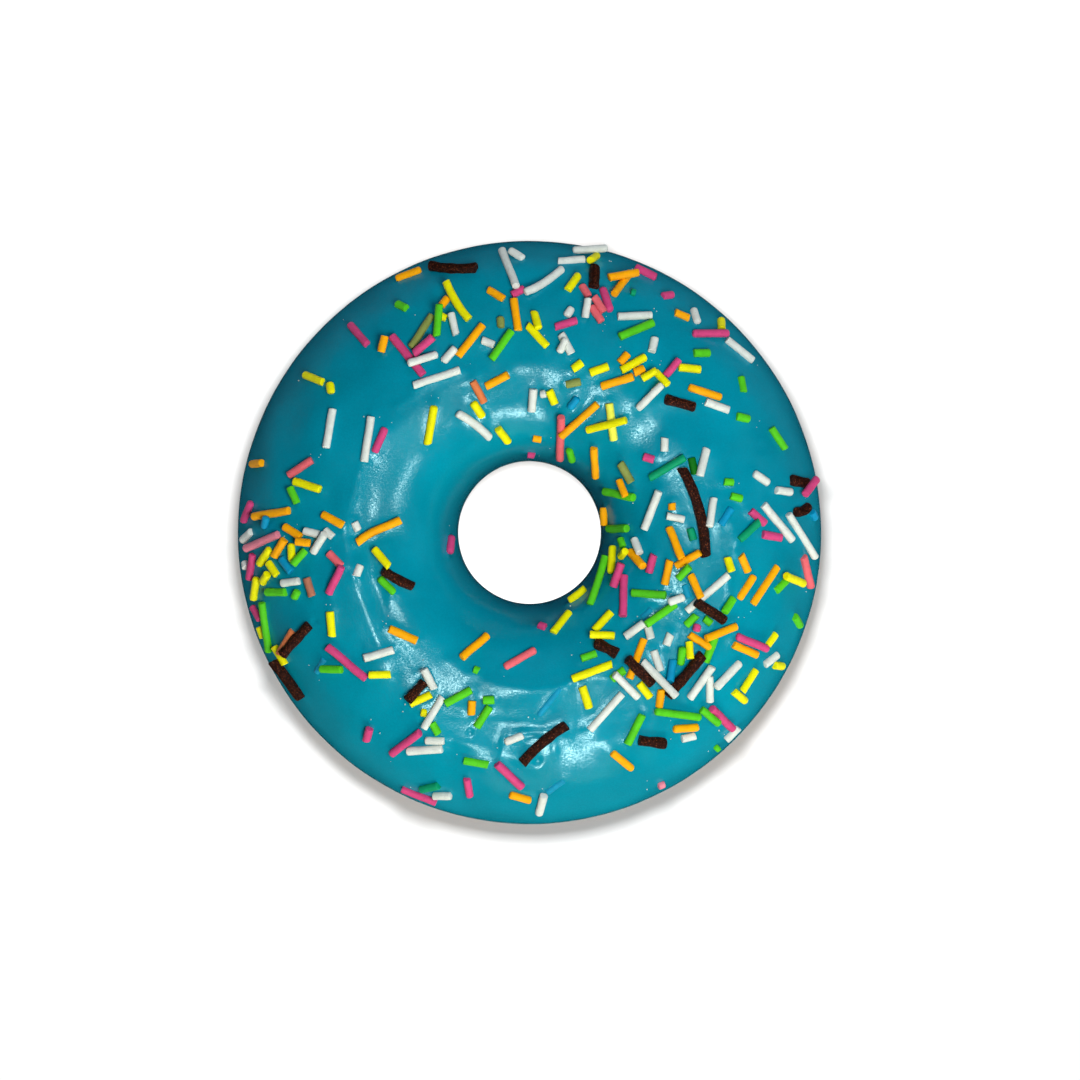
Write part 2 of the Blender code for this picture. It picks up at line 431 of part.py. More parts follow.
def lay_sprinkles():
    draw = np.random.default_rng(DRAW_SEED)
    laid = []
    for colour, bearing_a, distance_a, bearing_b, distance_b, *bow in SPRINKLES:
        radius = CHOCOLATE_RADIUS if colour == "c" else SUGAR_RADIUS
        radius *= draw.uniform(1 - UNEVENNESS, 1 + UNEVENNESS)
        first = on_plan(bearing_a, distance_a, radius)
        second = on_plan(bearing_b, distance_b, radius)
        start, end = icing_top(*first)[0], icing_top(*second)[0]
        middle, up = icing_top(*(first + second) / 2)
        along = unit(end - start)
        outward = 1 if np.cross(up, along)[:2] @ middle[:2] > 0 else -1
        length = np.linalg.norm(end - start)
        bowed = outward * sum(bow) * MM
        tried = rest(colour, radius, middle, along, up, length, bowed, laid)
        ends = tried.path[[0, -1], :2]
        off = ends.mean(axis=0) - (first + second) / 2
        middle = middle - np.append(off, -(off @ up[:2]) / up[2])
        length *= min(1, np.linalg.norm(second - first) / np.linalg.norm(ends[1] - ends[0]))
        laid.append(rest(colour, radius, middle, along, up, length, bowed, laid))
    return laid


def sprinkle_mesh(sprinkle):
    """A rod with few sides and flat ends, bent only where it is long."""
    bends = 3 if sprinkle.colour == "c" else 2
    sides = CHOCOLATE_SIDES if sprinkle.colour == "c" else SUGAR_SIDES
    path = sprinkle.path[np.linspace(0, STATIONS - 1, bends).round().astype(int)]
    side = np.cross(sprinkle.up, unit(path[-1] - path[0]))
    angles = math.tau * np.arange(sides) / sides - math.pi / 2
    ring = np.outer(np.cos(angles), side) + np.outer(np.sin(angles), sprinkle.up)
    shape = bmesh.new()
    loops = [[shape.verts.new(point + sprinkle.radius * way) for way in ring] for point in path]
    for first, second in zip(loops[:-1], loops[1:]):
        for k in range(sides):
            shape.faces.new((first[k], first[(k + 1) % sides], second[(k + 1) % sides], second[k]))
    shape.faces.new(loops[0])
    shape.faces.new(loops[-1])
    return finished_mesh("sprinkle", shape)


def fuse(base, pieces):
    """Join a collection's objects to the base in one union, and remove them."""
    joining = base.modifiers.new("sprinkles", "BOOLEAN")
    joining.operation = "UNION"
    joining.operand_type = "COLLECTION"
    joining.collection = pieces
    joining.solver = "EXACT"
    bpy.context.view_layer.objects.active = base
    bpy.ops.object.modifier_apply(modifier=joining.name)
    for piece in list(pieces.objects):
        bpy.data.objects.remove(piece)
    bpy.data.collections.remove(pieces)


def keep_largest_shell(base):
    """Drop loose scraps, and the walls of any hollow that the union shut in."""
    shape = bmesh.new()
    shape.from_mesh(base.data)
    waiting = set(shape.verts)
    shells = []
    while waiting:
        shell, edge = set(), [waiting.pop()]
        while edge:
            vert = edge.pop()
            shell.add(vert)
            fresh = {link.other_vert(vert) for link in vert.link_edges} & waiting
            waiting -= fresh
            edge.extend(fresh)
        shells.append(shell)
    largest = max(shells, key=len)
    loose = [vert for vert in shape.verts if vert not in largest]
    bmesh.ops.delete(shape, geom=loose, context="VERTS")
    shape.to_mesh(base.data)
    shape.free()


def main():
    for old in list(bpy.data.objects):
        bpy.data.objects.remove(old)
    make_dough()
    icing = make_icing()
    sprinkles = bpy.data.collections.new("sprinkles")
    bpy.context.scene.collection.children.link(sprinkles)
    sugar = material("sugar", (0.8, 0.7, 0.2), 0.5)
    for number, sprinkle in enumerate(lay_sprinkles()):
        if np.linalg.norm(sprinkle.path[-1] - sprinkle.path[0]) > LEAST_FUSED:
            add_object(f"sprinkle{number}", sprinkle_mesh(sprinkle), sugar, sprinkles)
    fuse(icing, sprinkles)
    keep_largest_shell(icing)


main()
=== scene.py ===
"""The looks of an iced ring doughnut: its icing, the strands in it, the fried crust and the light.

Metres, +Z up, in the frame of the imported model. Seen from above with +Y at the top, a bearing is
counted in degrees anticlockwise from +X. A turn is the angle round the ring's section: 0 at the
outer waist, 90 degrees at the crest, 180 at the waist in the hole. The shape's functions and the
laying of the strands are those of the model, so that each piece lies where its solid is.
"""

import math
from collections import namedtuple

import bmesh
import bpy
import numpy as np
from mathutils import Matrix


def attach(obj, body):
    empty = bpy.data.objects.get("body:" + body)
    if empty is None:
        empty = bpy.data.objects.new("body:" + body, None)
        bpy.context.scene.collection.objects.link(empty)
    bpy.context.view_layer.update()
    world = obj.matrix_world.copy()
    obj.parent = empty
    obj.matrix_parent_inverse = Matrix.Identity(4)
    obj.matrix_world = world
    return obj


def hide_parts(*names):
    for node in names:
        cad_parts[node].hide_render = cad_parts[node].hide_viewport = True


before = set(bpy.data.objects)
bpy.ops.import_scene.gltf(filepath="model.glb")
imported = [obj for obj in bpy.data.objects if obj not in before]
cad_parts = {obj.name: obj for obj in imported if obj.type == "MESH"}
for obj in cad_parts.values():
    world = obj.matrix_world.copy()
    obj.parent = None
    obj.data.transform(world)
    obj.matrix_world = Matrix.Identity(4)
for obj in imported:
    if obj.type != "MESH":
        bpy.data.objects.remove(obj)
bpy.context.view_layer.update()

MM = 0.001

# The ring, whose widest part is the icing
RING_RADIUS = 45.0 * MM
HOLE_RADIUS = 11.0 * MM
RING_HEIGHT = 30.0 * MM
WAIST_HEIGHT = 13.0 * MM
BELLY_DEPTH = 18.0 * MM  # from the waist to where the section would end if it didn't sit flat
BASE_SOFTNESS = 1.4 * MM
PLUMPNESS = 0.94  # below 1 the section is squarer than an ellipse
LEAN = 2.4 * MM  # how far the crest lies towards the hole from the middle of the ring

ICING_DEPTH = 1.2 * MM
ICING_GAP = 0.3 * MM
RIM_TURN = math.radians(11)  # how far below the waist the icing ends, on average
RIM_ROUNDING = math.radians(2.5)
RIM_DEPTHS = (0.8, 0.4)  # shares of the icing's depth at the rim and just past it

SMALL_TURN = 0.02  # over which the way the skin faces is measured
TURNS_TRIED = 361  # to find the turn at a place of the plan

MIDDLE = (RING_RADIUS + HOLE_RADIUS) / 2
ICED_HALF_WIDTH = (RING_RADIUS - HOLE_RADIUS) / 2
DOUGH_HALF_WIDTH = ICED_HALF_WIDTH - ICING_GAP - ICING_DEPTH
CROWN_RISE = RING_HEIGHT - WAIST_HEIGHT - ICING_GAP - ICING_DEPTH

# Where the icing lies thicker or thinner than its depth: bearing, distance from the axis, half
# length round the ring, half width across it, height. Degrees and millimetres.
SWELLS = (
    (184, 28.6, 10.0, 1.9, 0.40), (190, 25.2, 10.0, 1.7, -0.50), (203, 22.6, 9.0, 1.8, 0.25),
    (226, 27.2, 6.0, 2.0, -0.25), (252, 33.8, 8.0, 2.4, 0.35), (262, 29.4, 9.0, 2.0, -0.45),
    (268, 24.6, 8.0, 1.8, 0.25), (275, 36.2, 1.8, 3.4, -0.35), (293, 34.4, 6.0, 2.4, 0.30),
    (345, 31.4, 8.0, 2.6, 0.35), (352, 27.2, 7.0, 1.8, -0.35), (100, 25.4, 9.0, 2.2, 0.25),
    (140, 25.6, 7.0, 2.0, 0.20), (48, 26.2, 3.4, 1.6, 0.20), (31, 26.6, 2.6, 1.6, 0.20),
)
# Slow waves: how many round the ring, phase, height in millimetres
TOP_WAVES = ((2, 0.6, 0.22), (5, 2.1, 0.12))
BELLY_WAVES = ((3, 1.0, 0.35), (7, 0.2, 0.18))
# Waves of the icing's lower edge: how many round the ring, phase, degrees of turn
OUTER_RIM_WAVES = ((3, 0.4, 3.5), (5, 1.9, 2.5), (8, 0.7, 1.5))
INNER_RIM_WAVES = ((2, 1.2, 3.5), (5, 0.1, 2.5))
# Runs of icing that ended lower: bearing, half width, degrees of turn
RUNS = ((38, 7, 7), (121, 8, 8), (206, 7, 6), (297, 9, 8))

# Sprinkles
SUGAR_RADIUS = 0.63 * MM
CHOCOLATE_RADIUS = 0.82 * MM
UNEVENNESS = 0.05  # of the radii
SINK = 0.30 * MM  # how deep a sprinkle sits in the icing
TOUCH = 0.88  # how close two sprinkles lie, as a share of their radii together
BESIDE = 3 * MM  # round a sprinkle, where others may be in its way
HIGHEST_LIFT = 1.9 * MM
STEEPEST = 0.30
DRAW_SEED = 11

# Where each sprinkle lies, in the order of the laying: colour, bearing and distance of one end,
# the same of the other, and how far the middle of a long one bows outwards. Degrees and
# millimetres. Colours: c chocolate, w white, y yellow, l pale yellow, o orange, s salmon orange,
# p pink, r salmon, f pale pink, g green, d dark green, t teal green, b blue, k olive, n tan.
SPRINKLES = (
    ("g", 194.7, 42.6, 204.6, 44.5), ("y", 204, 43.9, 208.4, 43.7), ("s", 202.3, 39.6, 206.2, 42.9),
    ("g", 196.6, 24, 204.4, 22.7), ("y", 235.2, 32.1, 238.7, 29), ("g", 299.2, 25.8, 304.8, 25.6),
    ("o", 304.3, 27.2, 317.3, 23.9), ("w", 333.3, 27, 348.1, 31.2), ("g", 323.5, 33.6, 330.5, 32.6),
    ("o", 306.5, 33.4, 310.2, 31.4), ("d", 19.5, 26.9, 24.8, 27.3), ("b", 2.8, 44.3, 4.2, 43.6),
    ("w", 358.1, 40.4, 366.9, 36.2), ("p", 91.3, 37.4, 94.3, 36.5), ("k", 114, 36.6, 122.8, 33.6),
    ("p", 125, 36.8, 124, 29.1), ("l", 47.5, 19.2, 58.4, 23.2), ("r", 74.7, 18.2, 67.5, 12.3),
    ("g", 18.4, 16.8, 28.8, 13.1), ("r", 71.1, 34.1, 74.6, 36),
    ("w", 76.7, 28.1, 81, 30.8), ("w", 316.8, 38, 321.5, 35.3), ("r", 185.7, 31, 190.2, 29.2),
    ("y", 186.5, 40.4, 189.7, 39.3), ("o", 109.3, 38.1, 111.3, 37.3), ("y", 111.2, 35.2, 112.7, 36),
    ("g", 346.6, 38.9, 349.8, 40.3), ("p", 358.7, 39.2, 359.6, 35.8), ("y", 333.2, 13.9, 351, 13),
    ("w", 306.4, 39.4, 309.2, 40.3), ("w", 100.6, 29.2, 103.9, 30.4), ("o", 96.2, 36, 99.7, 37.8),
    ("c", 5.5, 43.9, 4.2, 41.2, 0.3), ("c", 10, 43.3, 11.3, 41.2),
    ("c", 352.2, 27.3, 383, 25.3, 0.9), ("c", 36.9, 31.9, 44.7, 29.1), ("c", 76.2, 42, 75.3, 39),
    ("c", 101.3, 41.6, 110.5, 43.9, -0.5), ("c", 206.5, 44.3, 216, 43.9),
    ("c", 206.6, 42.7, 202.5, 37.4), ("c", 194.4, 23.2, 205, 19.6, 0.2), ("c", 234, 31.9, 235, 28),
    ("c", 268.1, 35.4, 281, 30.1, -0.4), ("c", 302.8, 38.6, 297.8, 36),
    ("c", 305.9, 23, 300.9, 19.6), ("c", 310, 33, 325, 32.5), ("c", 309, 30.1, 307.8, 24.3),
    ("c", 335.6, 33, 337.5, 27.5), ("w", 355, 43.9, 364, 40.3), ("p", 7.8, 42.7, 10.6, 44.2),
    ("w", 8.8, 40.7, 9.7, 38.4), ("w", 11.5, 37.5, 14.9, 35.6), ("g", 18.1, 41.3, 23.4, 40.5),
    ("g", 33.2, 39.3, 36.3, 40.3), ("g", 27.3, 37.9, 29.3, 36.4), ("p", 2.1, 36.2, 5.6, 34),
    ("t", 357.8, 32.3, 362.8, 35.3), ("g", 9, 33, 10.3, 31.3), ("g", 13.8, 32.2, 14.6, 30.8),
    ("b", 2.3, 29.3, 6.8, 31.2), ("w", 1.8, 27.5, 10.6, 28.8), ("w", 18.3, 27.4, 25.3, 30.1),
    ("t", 25.8, 26.5, 24.4, 20.2), ("w", 30.9, 24.1, 35, 25.3), ("p", 30.2, 22.1, 33.6, 21),
    ("o", 8.8, 22.1, 11.6, 22.3), ("w", 4.6, 23.8, 7, 21.2), ("w", 1.3, 17.6, 17.8, 20.8),
    ("k", 26, 17.4, 37.5, 17.5), ("o", 20.6, 16, 30.6, 15.6), ("g", 2.3, 15, 2.6, 11.6),
    ("o", 5.2, 11.6, 18.6, 11.6), ("o", 39.7, 13.3, 52.8, 16.2), ("g", 58.5, 11.8, 64.8, 12.8),
    ("w", 37.5, 43.3, 44.4, 42.5), ("y", 46.5, 43, 48, 44.6), ("p", 44.7, 42.9, 50.9, 39.8),
    ("g", 44.9, 39, 47.5, 37.3), ("w", 51.2, 41.3, 53.8, 42.6), ("o", 53.2, 41.2, 56.6, 40.7),
    ("p", 59, 42.6, 60.6, 41.7), ("p", 63.6, 43.8, 68.2, 44.6), ("g", 59.4, 37.4, 65.3, 33),
    ("w", 60.6, 38.2, 67.8, 35.8), ("w", 31.4, 35.9, 36.6, 33.6), ("o", 35, 36, 42.5, 33),
    ("y", 43.6, 36.2, 48, 34.1), ("p", 49.1, 35.1, 49, 31.8), ("y", 46.8, 31, 52, 31.5),
    ("w", 48.1, 30.5, 48.8, 25.1), ("y", 51.8, 31.6, 53.8, 29.2), ("w", 55.9, 33.4, 57.2, 35.5),
    ("o", 55, 30.7, 56.8, 29.2), ("y", 56.6, 32.2, 60.5, 28.5), ("o", 61.1, 31.3, 62, 29.4),
    ("o", 56.3, 28.7, 63.8, 24.9), ("y", 64.6, 28.2, 69.2, 26.1), ("y", 72.8, 27.3, 75.2, 25.8),
    ("k", 71.2, 24.4, 76.1, 23.3), ("y", 49.4, 23, 60.6, 17.8), ("o", 61.6, 22.2, 72.5, 15.4),
    ("b", 70.2, 21.8, 72.4, 19.6), ("y", 78.6, 20, 82.2, 22), ("w", 83.3, 21.5, 85.2, 21.2),
    ("w", 88.4, 22, 89, 18.5), ("o", 82.8, 14.4, 88, 14.5), ("p", 86, 11.8, 91.5, 12),
    ("o", 68.8, 43, 70.5, 38.6), ("o", 66.9, 42.8, 73, 41.5), ("t", 66.1, 40.2, 67.2, 40.1),
    ("y", 76.3, 43.9, 77.5, 42.2),
    ("w", 74.5, 44.6, 81.3, 44.1), ("w", 78.4, 43.5, 84.2, 42.7), ("y", 79.3, 40.1, 81.1, 37.6),
    ("p", 70, 36.8, 73.4, 39.7), ("r", 75.9, 37.6, 78, 39), ("r", 71.3, 35.9, 74.7, 37.5),
    ("w", 75.4, 34.1, 76, 37.1), ("w", 79.3, 35.1, 80.3, 33.6), ("p", 77.4, 33.4, 83, 31.8),
    ("w", 79.2, 30.2, 80.7, 27.9), ("y", 84.5, 28.6, 90.6, 31.8), ("y", 87.4, 31.2, 88.8, 33.9),
    ("w", 82.8, 41, 91.2, 36.8, -0.4), ("w", 95.6, 43.7, 93.1, 37.8), ("w", 91, 42.4, 94.3, 43.3),
    ("o", 93.9, 36, 93.2, 31), ("k", 97.7, 33.4, 97.9, 31.6), ("g", 95, 31.1, 102.5, 27.1),
    ("o", 102.5, 32.7, 112.2, 29.1), ("y", 108.6, 40.6, 105.6, 34, -0.3),
    ("o", 112.4, 43.8, 117.8, 44.7), ("w", 109.7, 35.7, 110.4, 32.3),
    ("g", 111.3, 37.6, 115.6, 33.4), ("w", 111.7, 30.5, 117, 29.3), ("p", 116.2, 33.3, 122.9, 32.7),
    ("w", 117.2, 30.9, 125.9, 31.7), ("w", 113.1, 27.1, 128.4, 28.7),
    ("o", 126.2, 37.2, 129.6, 35.8), ("g", 118.7, 39.2, 120.1, 40.6),
    ("p", 130.8, 42.2, 130.8, 38.1), ("o", 97.6, 24.4, 106.8, 23.3), ("s", 110.6, 24.8, 109.1, 21),
    ("y", 113.6, 21.8, 111.9, 19), ("y", 107, 16.7, 103.2, 14.2),
    ("w", 121.3, 21.4, 112.5, 15.6, 0.3), ("y", 126.9, 24.3, 139.4, 20.6),
    ("y", 145, 42.2, 143.9, 39.2), ("y", 143.1, 38.4, 145, 37.1), ("w", 147.8, 35.6, 157.5, 33.8),
    ("p", 144, 27.3, 152.8, 26.7), ("w", 143.8, 30.1, 156.9, 27.5), ("o", 166.2, 44.6, 165.4, 42.4),
    ("p", 173.7, 43.1, 178, 44.6), ("o", 176.8, 42.5, 174.7, 37), ("b", 176.6, 40.4, 179, 41.2),
    ("r", 161.5, 35.1, 166.7, 38), ("y", 167.7, 37, 168.4, 32.7), ("g", 169.2, 37.3, 173, 36),
    ("o", 175, 31.9, 177.8, 28.5), ("w", 176.6, 26.9, 179.4, 26.2),
    ("o", 183.5, 26.5, 174.5, 19.8, 0.3), ("w", 179.8, 42.9, 181.6, 44.6),
    ("f", 183.4, 43.7, 180.3, 38.6), ("o", 178.6, 37.6, 181.2, 35), ("w", 179.6, 34.6, 180.6, 32.2),
    ("w", 179.3, 31.4, 181.4, 30.1), ("w", 180.3, 31.2, 185.3, 33.5),
    ("p", 184.5, 42.7, 189.5, 43.7), ("w", 186, 44.6, 187.2, 43.8), ("y", 189.4, 43, 193.8, 44.3),
    ("p", 195, 44.6, 198, 43.6), ("y", 199.2, 44.5, 201.6, 44.4), ("y", 183.5, 39.9, 186.9, 41.9),
    ("y", 188.8, 40.6, 190.8, 42.1), ("g", 192.8, 41.4, 193.8, 38.5),
    ("o", 181.6, 37.6, 185.5, 39.4), ("b", 185.8, 38.6, 189.6, 37.2),
    ("w", 191.6, 38.8, 191.9, 36.1), ("g", 194, 36.6, 195.8, 37.6), ("y", 182.6, 36.7, 187, 36.8),
    ("g", 184.3, 34.7, 188, 36.7), ("o", 182.2, 36, 182.8, 33.6), ("n", 191.5, 34.9, 196.4, 34.7),
    ("p", 190.3, 29.1, 196.9, 32.3), ("w", 190.9, 26.4, 194.2, 27.4),
    ("y", 185.9, 23.9, 193.8, 22.2), ("p", 182.5, 11.6, 194.5, 12.6),
    ("y", 201.6, 32.9, 207.8, 34.2), ("g", 213.2, 38.3, 216.2, 35.6),
    ("p", 209.4, 35.6, 221.9, 33.6), ("y", 221.5, 32.9, 225.8, 30.5),
    ("w", 217.2, 31.9, 220.9, 27.5), ("o", 214.4, 26.1, 224, 23.9), ("p", 230.8, 38.8, 231.9, 40.6),
    ("w", 232.2, 26.4, 238.7, 28.1), ("p", 238.1, 40.2, 241.3, 34.8),
    ("w", 240.9, 38.4, 248.1, 35.8), ("w", 243.5, 35.7, 247.8, 34.5),
    ("y", 238.8, 32.2, 240.5, 31.9), ("g", 242.8, 32.8, 245.8, 34), ("w", 241.6, 34.2, 242.2, 28.5),
    ("g", 243.8, 29.3, 249.7, 25.7), ("o", 251.2, 27.2, 252.3, 29.4), ("g", 254.8, 31, 257.2, 27.3),
    ("g", 254.5, 26.7, 258.2, 26.2), ("g", 247.8, 22.6, 250, 22.6), ("o", 241.6, 21.8, 247.8, 17),
    ("g", 253.9, 36.4, 260, 36.2), ("t", 247, 42.9, 250.3, 41.4), ("w", 250, 43.1, 253.4, 42.3),
    ("p", 255.7, 39, 257.3, 41.5), ("p", 243.5, 44.5, 251, 44.7), ("p", 261.9, 35.8, 268.4, 39.2),
    ("o", 265.6, 40.4, 270.4, 41.2), ("w", 263.3, 32.4, 268.3, 31.1), ("r", 259.4, 21, 273.1, 18),
    ("p", 275.8, 14.3, 279.8, 14.8), ("w", 271.9, 43.2, 273.2, 40.5), ("w", 286.9, 31.7, 300, 28.5),
    ("y", 288.8, 28.5, 288.9, 24.9), ("y", 286.3, 23.4, 302.2, 23.8),
    ("g", 292.2, 20.9, 299.1, 21.2), ("y", 283.1, 15.8, 296.6, 13.7), ("o", 293.5, 39.6, 290.5, 36),
    ("g", 294.7, 35.8, 301.9, 32.9), ("f", 296.9, 43.8, 298.2, 43.9), ("o", 306.1, 37.4, 311, 39.6),
    ("g", 312.8, 39, 305, 33.2), ("g", 310.4, 44.5, 311.6, 44.3), ("w", 313.4, 44.6, 317, 44.3),
    ("p", 316, 43.7, 316, 39), ("g", 314.8, 41.3, 314.1, 37.8), ("w", 314, 35.6, 323.8, 34.6),
    ("w", 320, 37, 328.4, 38.2), ("y", 322, 42.1, 322.1, 39.7), ("y", 323.2, 40.6, 328.8, 40.9),
    ("y", 332.2, 44.6, 331.5, 42.9), ("w", 330.6, 41.5, 333.8, 42.5),
    ("y", 334.6, 40.5, 337.7, 40.9), ("o", 331.7, 39.8, 331.2, 35.7),
    ("p", 333.9, 40.8, 333.4, 35.5), ("g", 341, 44.6, 342.4, 42.8), ("r", 349, 44, 355, 42.4),
    ("y", 349.4, 42.8, 350.4, 39.5), ("o", 342.2, 36, 352.2, 38.4), ("o", 342.3, 33.7, 349.2, 35.1),
    ("o", 349.7, 34.1, 353.9, 32.6), ("g", 337.7, 32.3, 342.2, 33), ("y", 349, 31.5, 352.8, 30.6),
    ("y", 321.8, 31.4, 325.7, 29.7), ("g", 318.7, 30.9, 323.2, 29.2),
    ("b", 313.2, 31.3, 318.5, 29.4), ("w", 313.4, 29.3, 316.5, 26.2),
    ("w", 311.9, 33.8, 311.3, 26.3), ("y", 306.2, 31.4, 306, 28.5), ("w", 303.4, 30.5, 300.9, 25.1),
    ("o", 335.6, 35.2, 329, 31.3), ("o", 327.5, 32.9, 327.4, 29), ("w", 320.4, 27.2, 324.3, 26.6),
    ("w", 318.8, 24.8, 321.6, 23.1), ("w", 312.4, 21.6, 322, 22.5), ("g", 329.3, 27.9, 333.7, 28.6),
    ("g", 333.3, 31.2, 333.9, 29.8), ("p", 329.2, 29.7, 331.4, 29.4), ("g", 321.6, 22.8, 334, 24.9),
    ("w", 333.2, 23.8, 337.4, 25.7), ("g", 335.3, 23, 329.4, 18.2), ("o", 339.2, 28.1, 345.2, 25.5),
    ("g", 342.6, 23.8, 348, 25.1), ("o", 347, 23, 353.4, 26.4), ("o", 338.8, 22.2, 348.8, 22),
    ("o", 350.3, 23.8, 362, 21.3), ("t", 357.3, 25.2, 361.5, 24.6), ("y", 300.3, 18.4, 309.8, 20.5),
    ("y", 303.5, 18, 316, 17.5), ("p", 317.8, 19.2, 335.9, 16), ("p", 326.3, 14.9, 341.6, 15),
    ("g", 309.4, 14.3, 342, 13, 0.2), ("y", 299.7, 12.1, 315.3, 12.1, 0.2),
    ("p", 341.2, 19.3, 349.9, 19.4), ("o", 343.4, 18.4, 349.4, 15.6),
    ("w", 349.2, 16.9, 356.6, 15.6), ("y", 344.2, 13.4, 349.6, 14.7), ("g", 350.9, 14.6, 356.3, 14),
)

STATIONS = 7

Sprinkle = namedtuple("Sprinkle", "colour radius path up")


def bent(value, power):
    """The value raised to a power, with its sign kept."""
    return np.sign(value) * np.abs(value) ** power


def waves(bearing, terms):
    return sum(size * np.sin(count * bearing + phase) for count, phase, size in terms)


def around(bearing, degrees):
    """The angle from a bearing in degrees to this one in radians, between -pi and pi."""
    return (bearing - math.radians(degrees) + math.pi) % math.tau - math.pi


def dough_swelling(bearing, turn):
    """How far the dough stands out of the even section. It dies out at the waist, so that the
    ring is round seen from above."""
    lift = np.where(np.sin(turn) > 0, waves(bearing, TOP_WAVES), waves(bearing, BELLY_WAVES))
    return lift * MM * np.sin(turn) ** 2


def plan_distance(turn, half_width):
    """How far from the axis the even section is at a turn."""
    lean = LEAN * np.clip(np.sin(turn), 0, 1) ** 2
    return MIDDLE + half_width * bent(np.cos(turn), PLUMPNESS) - lean


def icing_depth(bearing, turn):
    distance = plan_distance(turn, ICED_HALF_WIDTH)
    swell = 0.0
    for degrees, reach, length, width, height in SWELLS:
        along = around(bearing, degrees) * distance / (length * MM)
        across = (distance - reach * MM) / (width * MM)
        swell = swell + height * np.exp(-(along**2) - across**2)
    return ICING_DEPTH + swell * MM * np.clip(np.sin(turn), 0, 1) ** 2


def settled(height):
    """Heights with what would be below the ground brought up to it, and a soft turn there."""
    turning = (height + BASE_SOFTNESS) ** 2 / (4 * BASE_SOFTNESS)
    return np.where(height > BASE_SOFTNESS, height, np.where(height < -BASE_SOFTNESS, 0.0, turning))


def dough_skin(bearing, turn):
    """Points of the dough's skin, for arrays or single values of bearing and turn."""
    lift = dough_swelling(bearing, turn)
    rise = bent(np.sin(turn), PLUMPNESS)
    distance = plan_distance(turn, DOUGH_HALF_WIDTH) + lift * np.cos(turn)
    height = WAIST_HEIGHT + rise * np.where(rise > 0, CROWN_RISE, BELLY_DEPTH) + lift * np.sin(turn)
    x, y = distance * np.cos(bearing), distance * np.sin(bearing)
    return np.stack([x, y, settled(height)], axis=-1)


def unit(vector):
    return vector / np.linalg.norm(vector, axis=-1, keepdims=True)


def skin_normal(bearing, turn):
    ahead = dough_skin(bearing + SMALL_TURN, turn) - dough_skin(bearing - SMALL_TURN, turn)
    upward = dough_skin(bearing, turn + SMALL_TURN) - dough_skin(bearing, turn - SMALL_TURN)
    return unit(np.cross(ahead, upward))


def icing_skin(bearing, turn, depth=1.0):
    """Points at this share of the icing's depth, from its underside to its top."""
    lift = ICING_GAP + icing_depth(bearing, turn) * depth
    return dough_skin(bearing, turn) + skin_normal(bearing, turn) * lift[..., None]


def rim_turns(bearing):
    """The turns between which the icing reaches: its lower edge outside, and in the hole."""
    runs = 0.0
    for degrees, half, size in RUNS:
        runs = runs + size * np.exp(-((around(bearing, degrees) / math.radians(half)) ** 2))
    outer = RIM_TURN + np.radians(waves(bearing, OUTER_RIM_WAVES) + runs)
    inner = RIM_TURN + np.radians(waves(bearing, INNER_RIM_WAVES))
    return -outer, math.pi + inner


def icing_top(x, y):
    """The point of the icing straight below a place of the plan, and the way it faces."""
    turns = np.linspace(0, math.pi, TURNS_TRIED)
    turn = np.interp(-np.hypot(x, y), -plan_distance(turns, ICED_HALF_WIDTH), turns)
    bearing = np.arctan2(y, x)
    return icing_skin(bearing, turn), skin_normal(bearing, turn)


def height_over_icing(points, up):
    """How far these points are above the icing, measured along up."""
    rise = bent((points[:, 2] - WAIST_HEIGHT) / (RING_HEIGHT - WAIST_HEIGHT), 1 / PLUMPNESS)
    distance = np.hypot(points[:, 0], points[:, 1]) + LEAN * np.clip(rise, 0, 1) ** 2
    reach = bent((distance - MIDDLE) / ICED_HALF_WIDTH, 1 / PLUMPNESS)
    turn = np.arctan2(rise, reach)
    bearing = np.arctan2(points[:, 1], points[:, 0])
    return (points - icing_skin(bearing, turn)) @ up


def height_for(points, radius, walls, up):
    """How far each of these points has to rise along up for a sprinkle there to lie on others.
    The walls are the others' straight stretches: starts, lines to their ends, and radii."""
    start, line, radii = walls
    touching = (radius + radii) * TOUCH
    flat_line = line - np.outer(line @ up, up)
    gap = points[:, None] - start
    flat_gap = gap - (gap @ up)[..., None] * up
    along = np.clip((flat_gap * flat_line).sum(-1) / (flat_line**2).sum(-1), 0, 1)[..., None]
    beside = np.linalg.norm(flat_gap - along * flat_line, axis=-1)
    rise = (along * line - gap) @ up
    lying = rise + np.sqrt(np.maximum(touching**2 - beside**2, 0))
    return np.where(beside < touching, lying, -1.0).max(axis=1)


def stretches(laid):
    """The straight stretches of these sprinkles, two for each: starts, lines and radii."""
    paths = np.array([sprinkle.path[[0, STATIONS // 2, -1]] for sprinkle in laid])
    start, end = paths[:, :-1].reshape(-1, 3), paths[:, 1:].reshape(-1, 3)
    return start, end - start, np.repeat([sprinkle.radius for sprinkle in laid], 2)


def resting_line(places, heights):
    """Height at the middle and slope of the straight rod that lies on these heights."""
    before = [k for k in range(len(places)) if places[k] <= 0]
    after = [k for k in range(len(places)) if places[k] > 0]
    best = (-1.0, 0.0)
    for i in before:
        for j in after:
            slope = (heights[j] - heights[i]) / (places[j] - places[i])
            best = max(best, (heights[i] - slope * places[i], slope))
    return best


def near(laid, middle, reach):
    """The sprinkles laid so far that come within this reach of a place."""
    return [other for other in laid if np.linalg.norm(other.path - middle, axis=1).min() < reach]


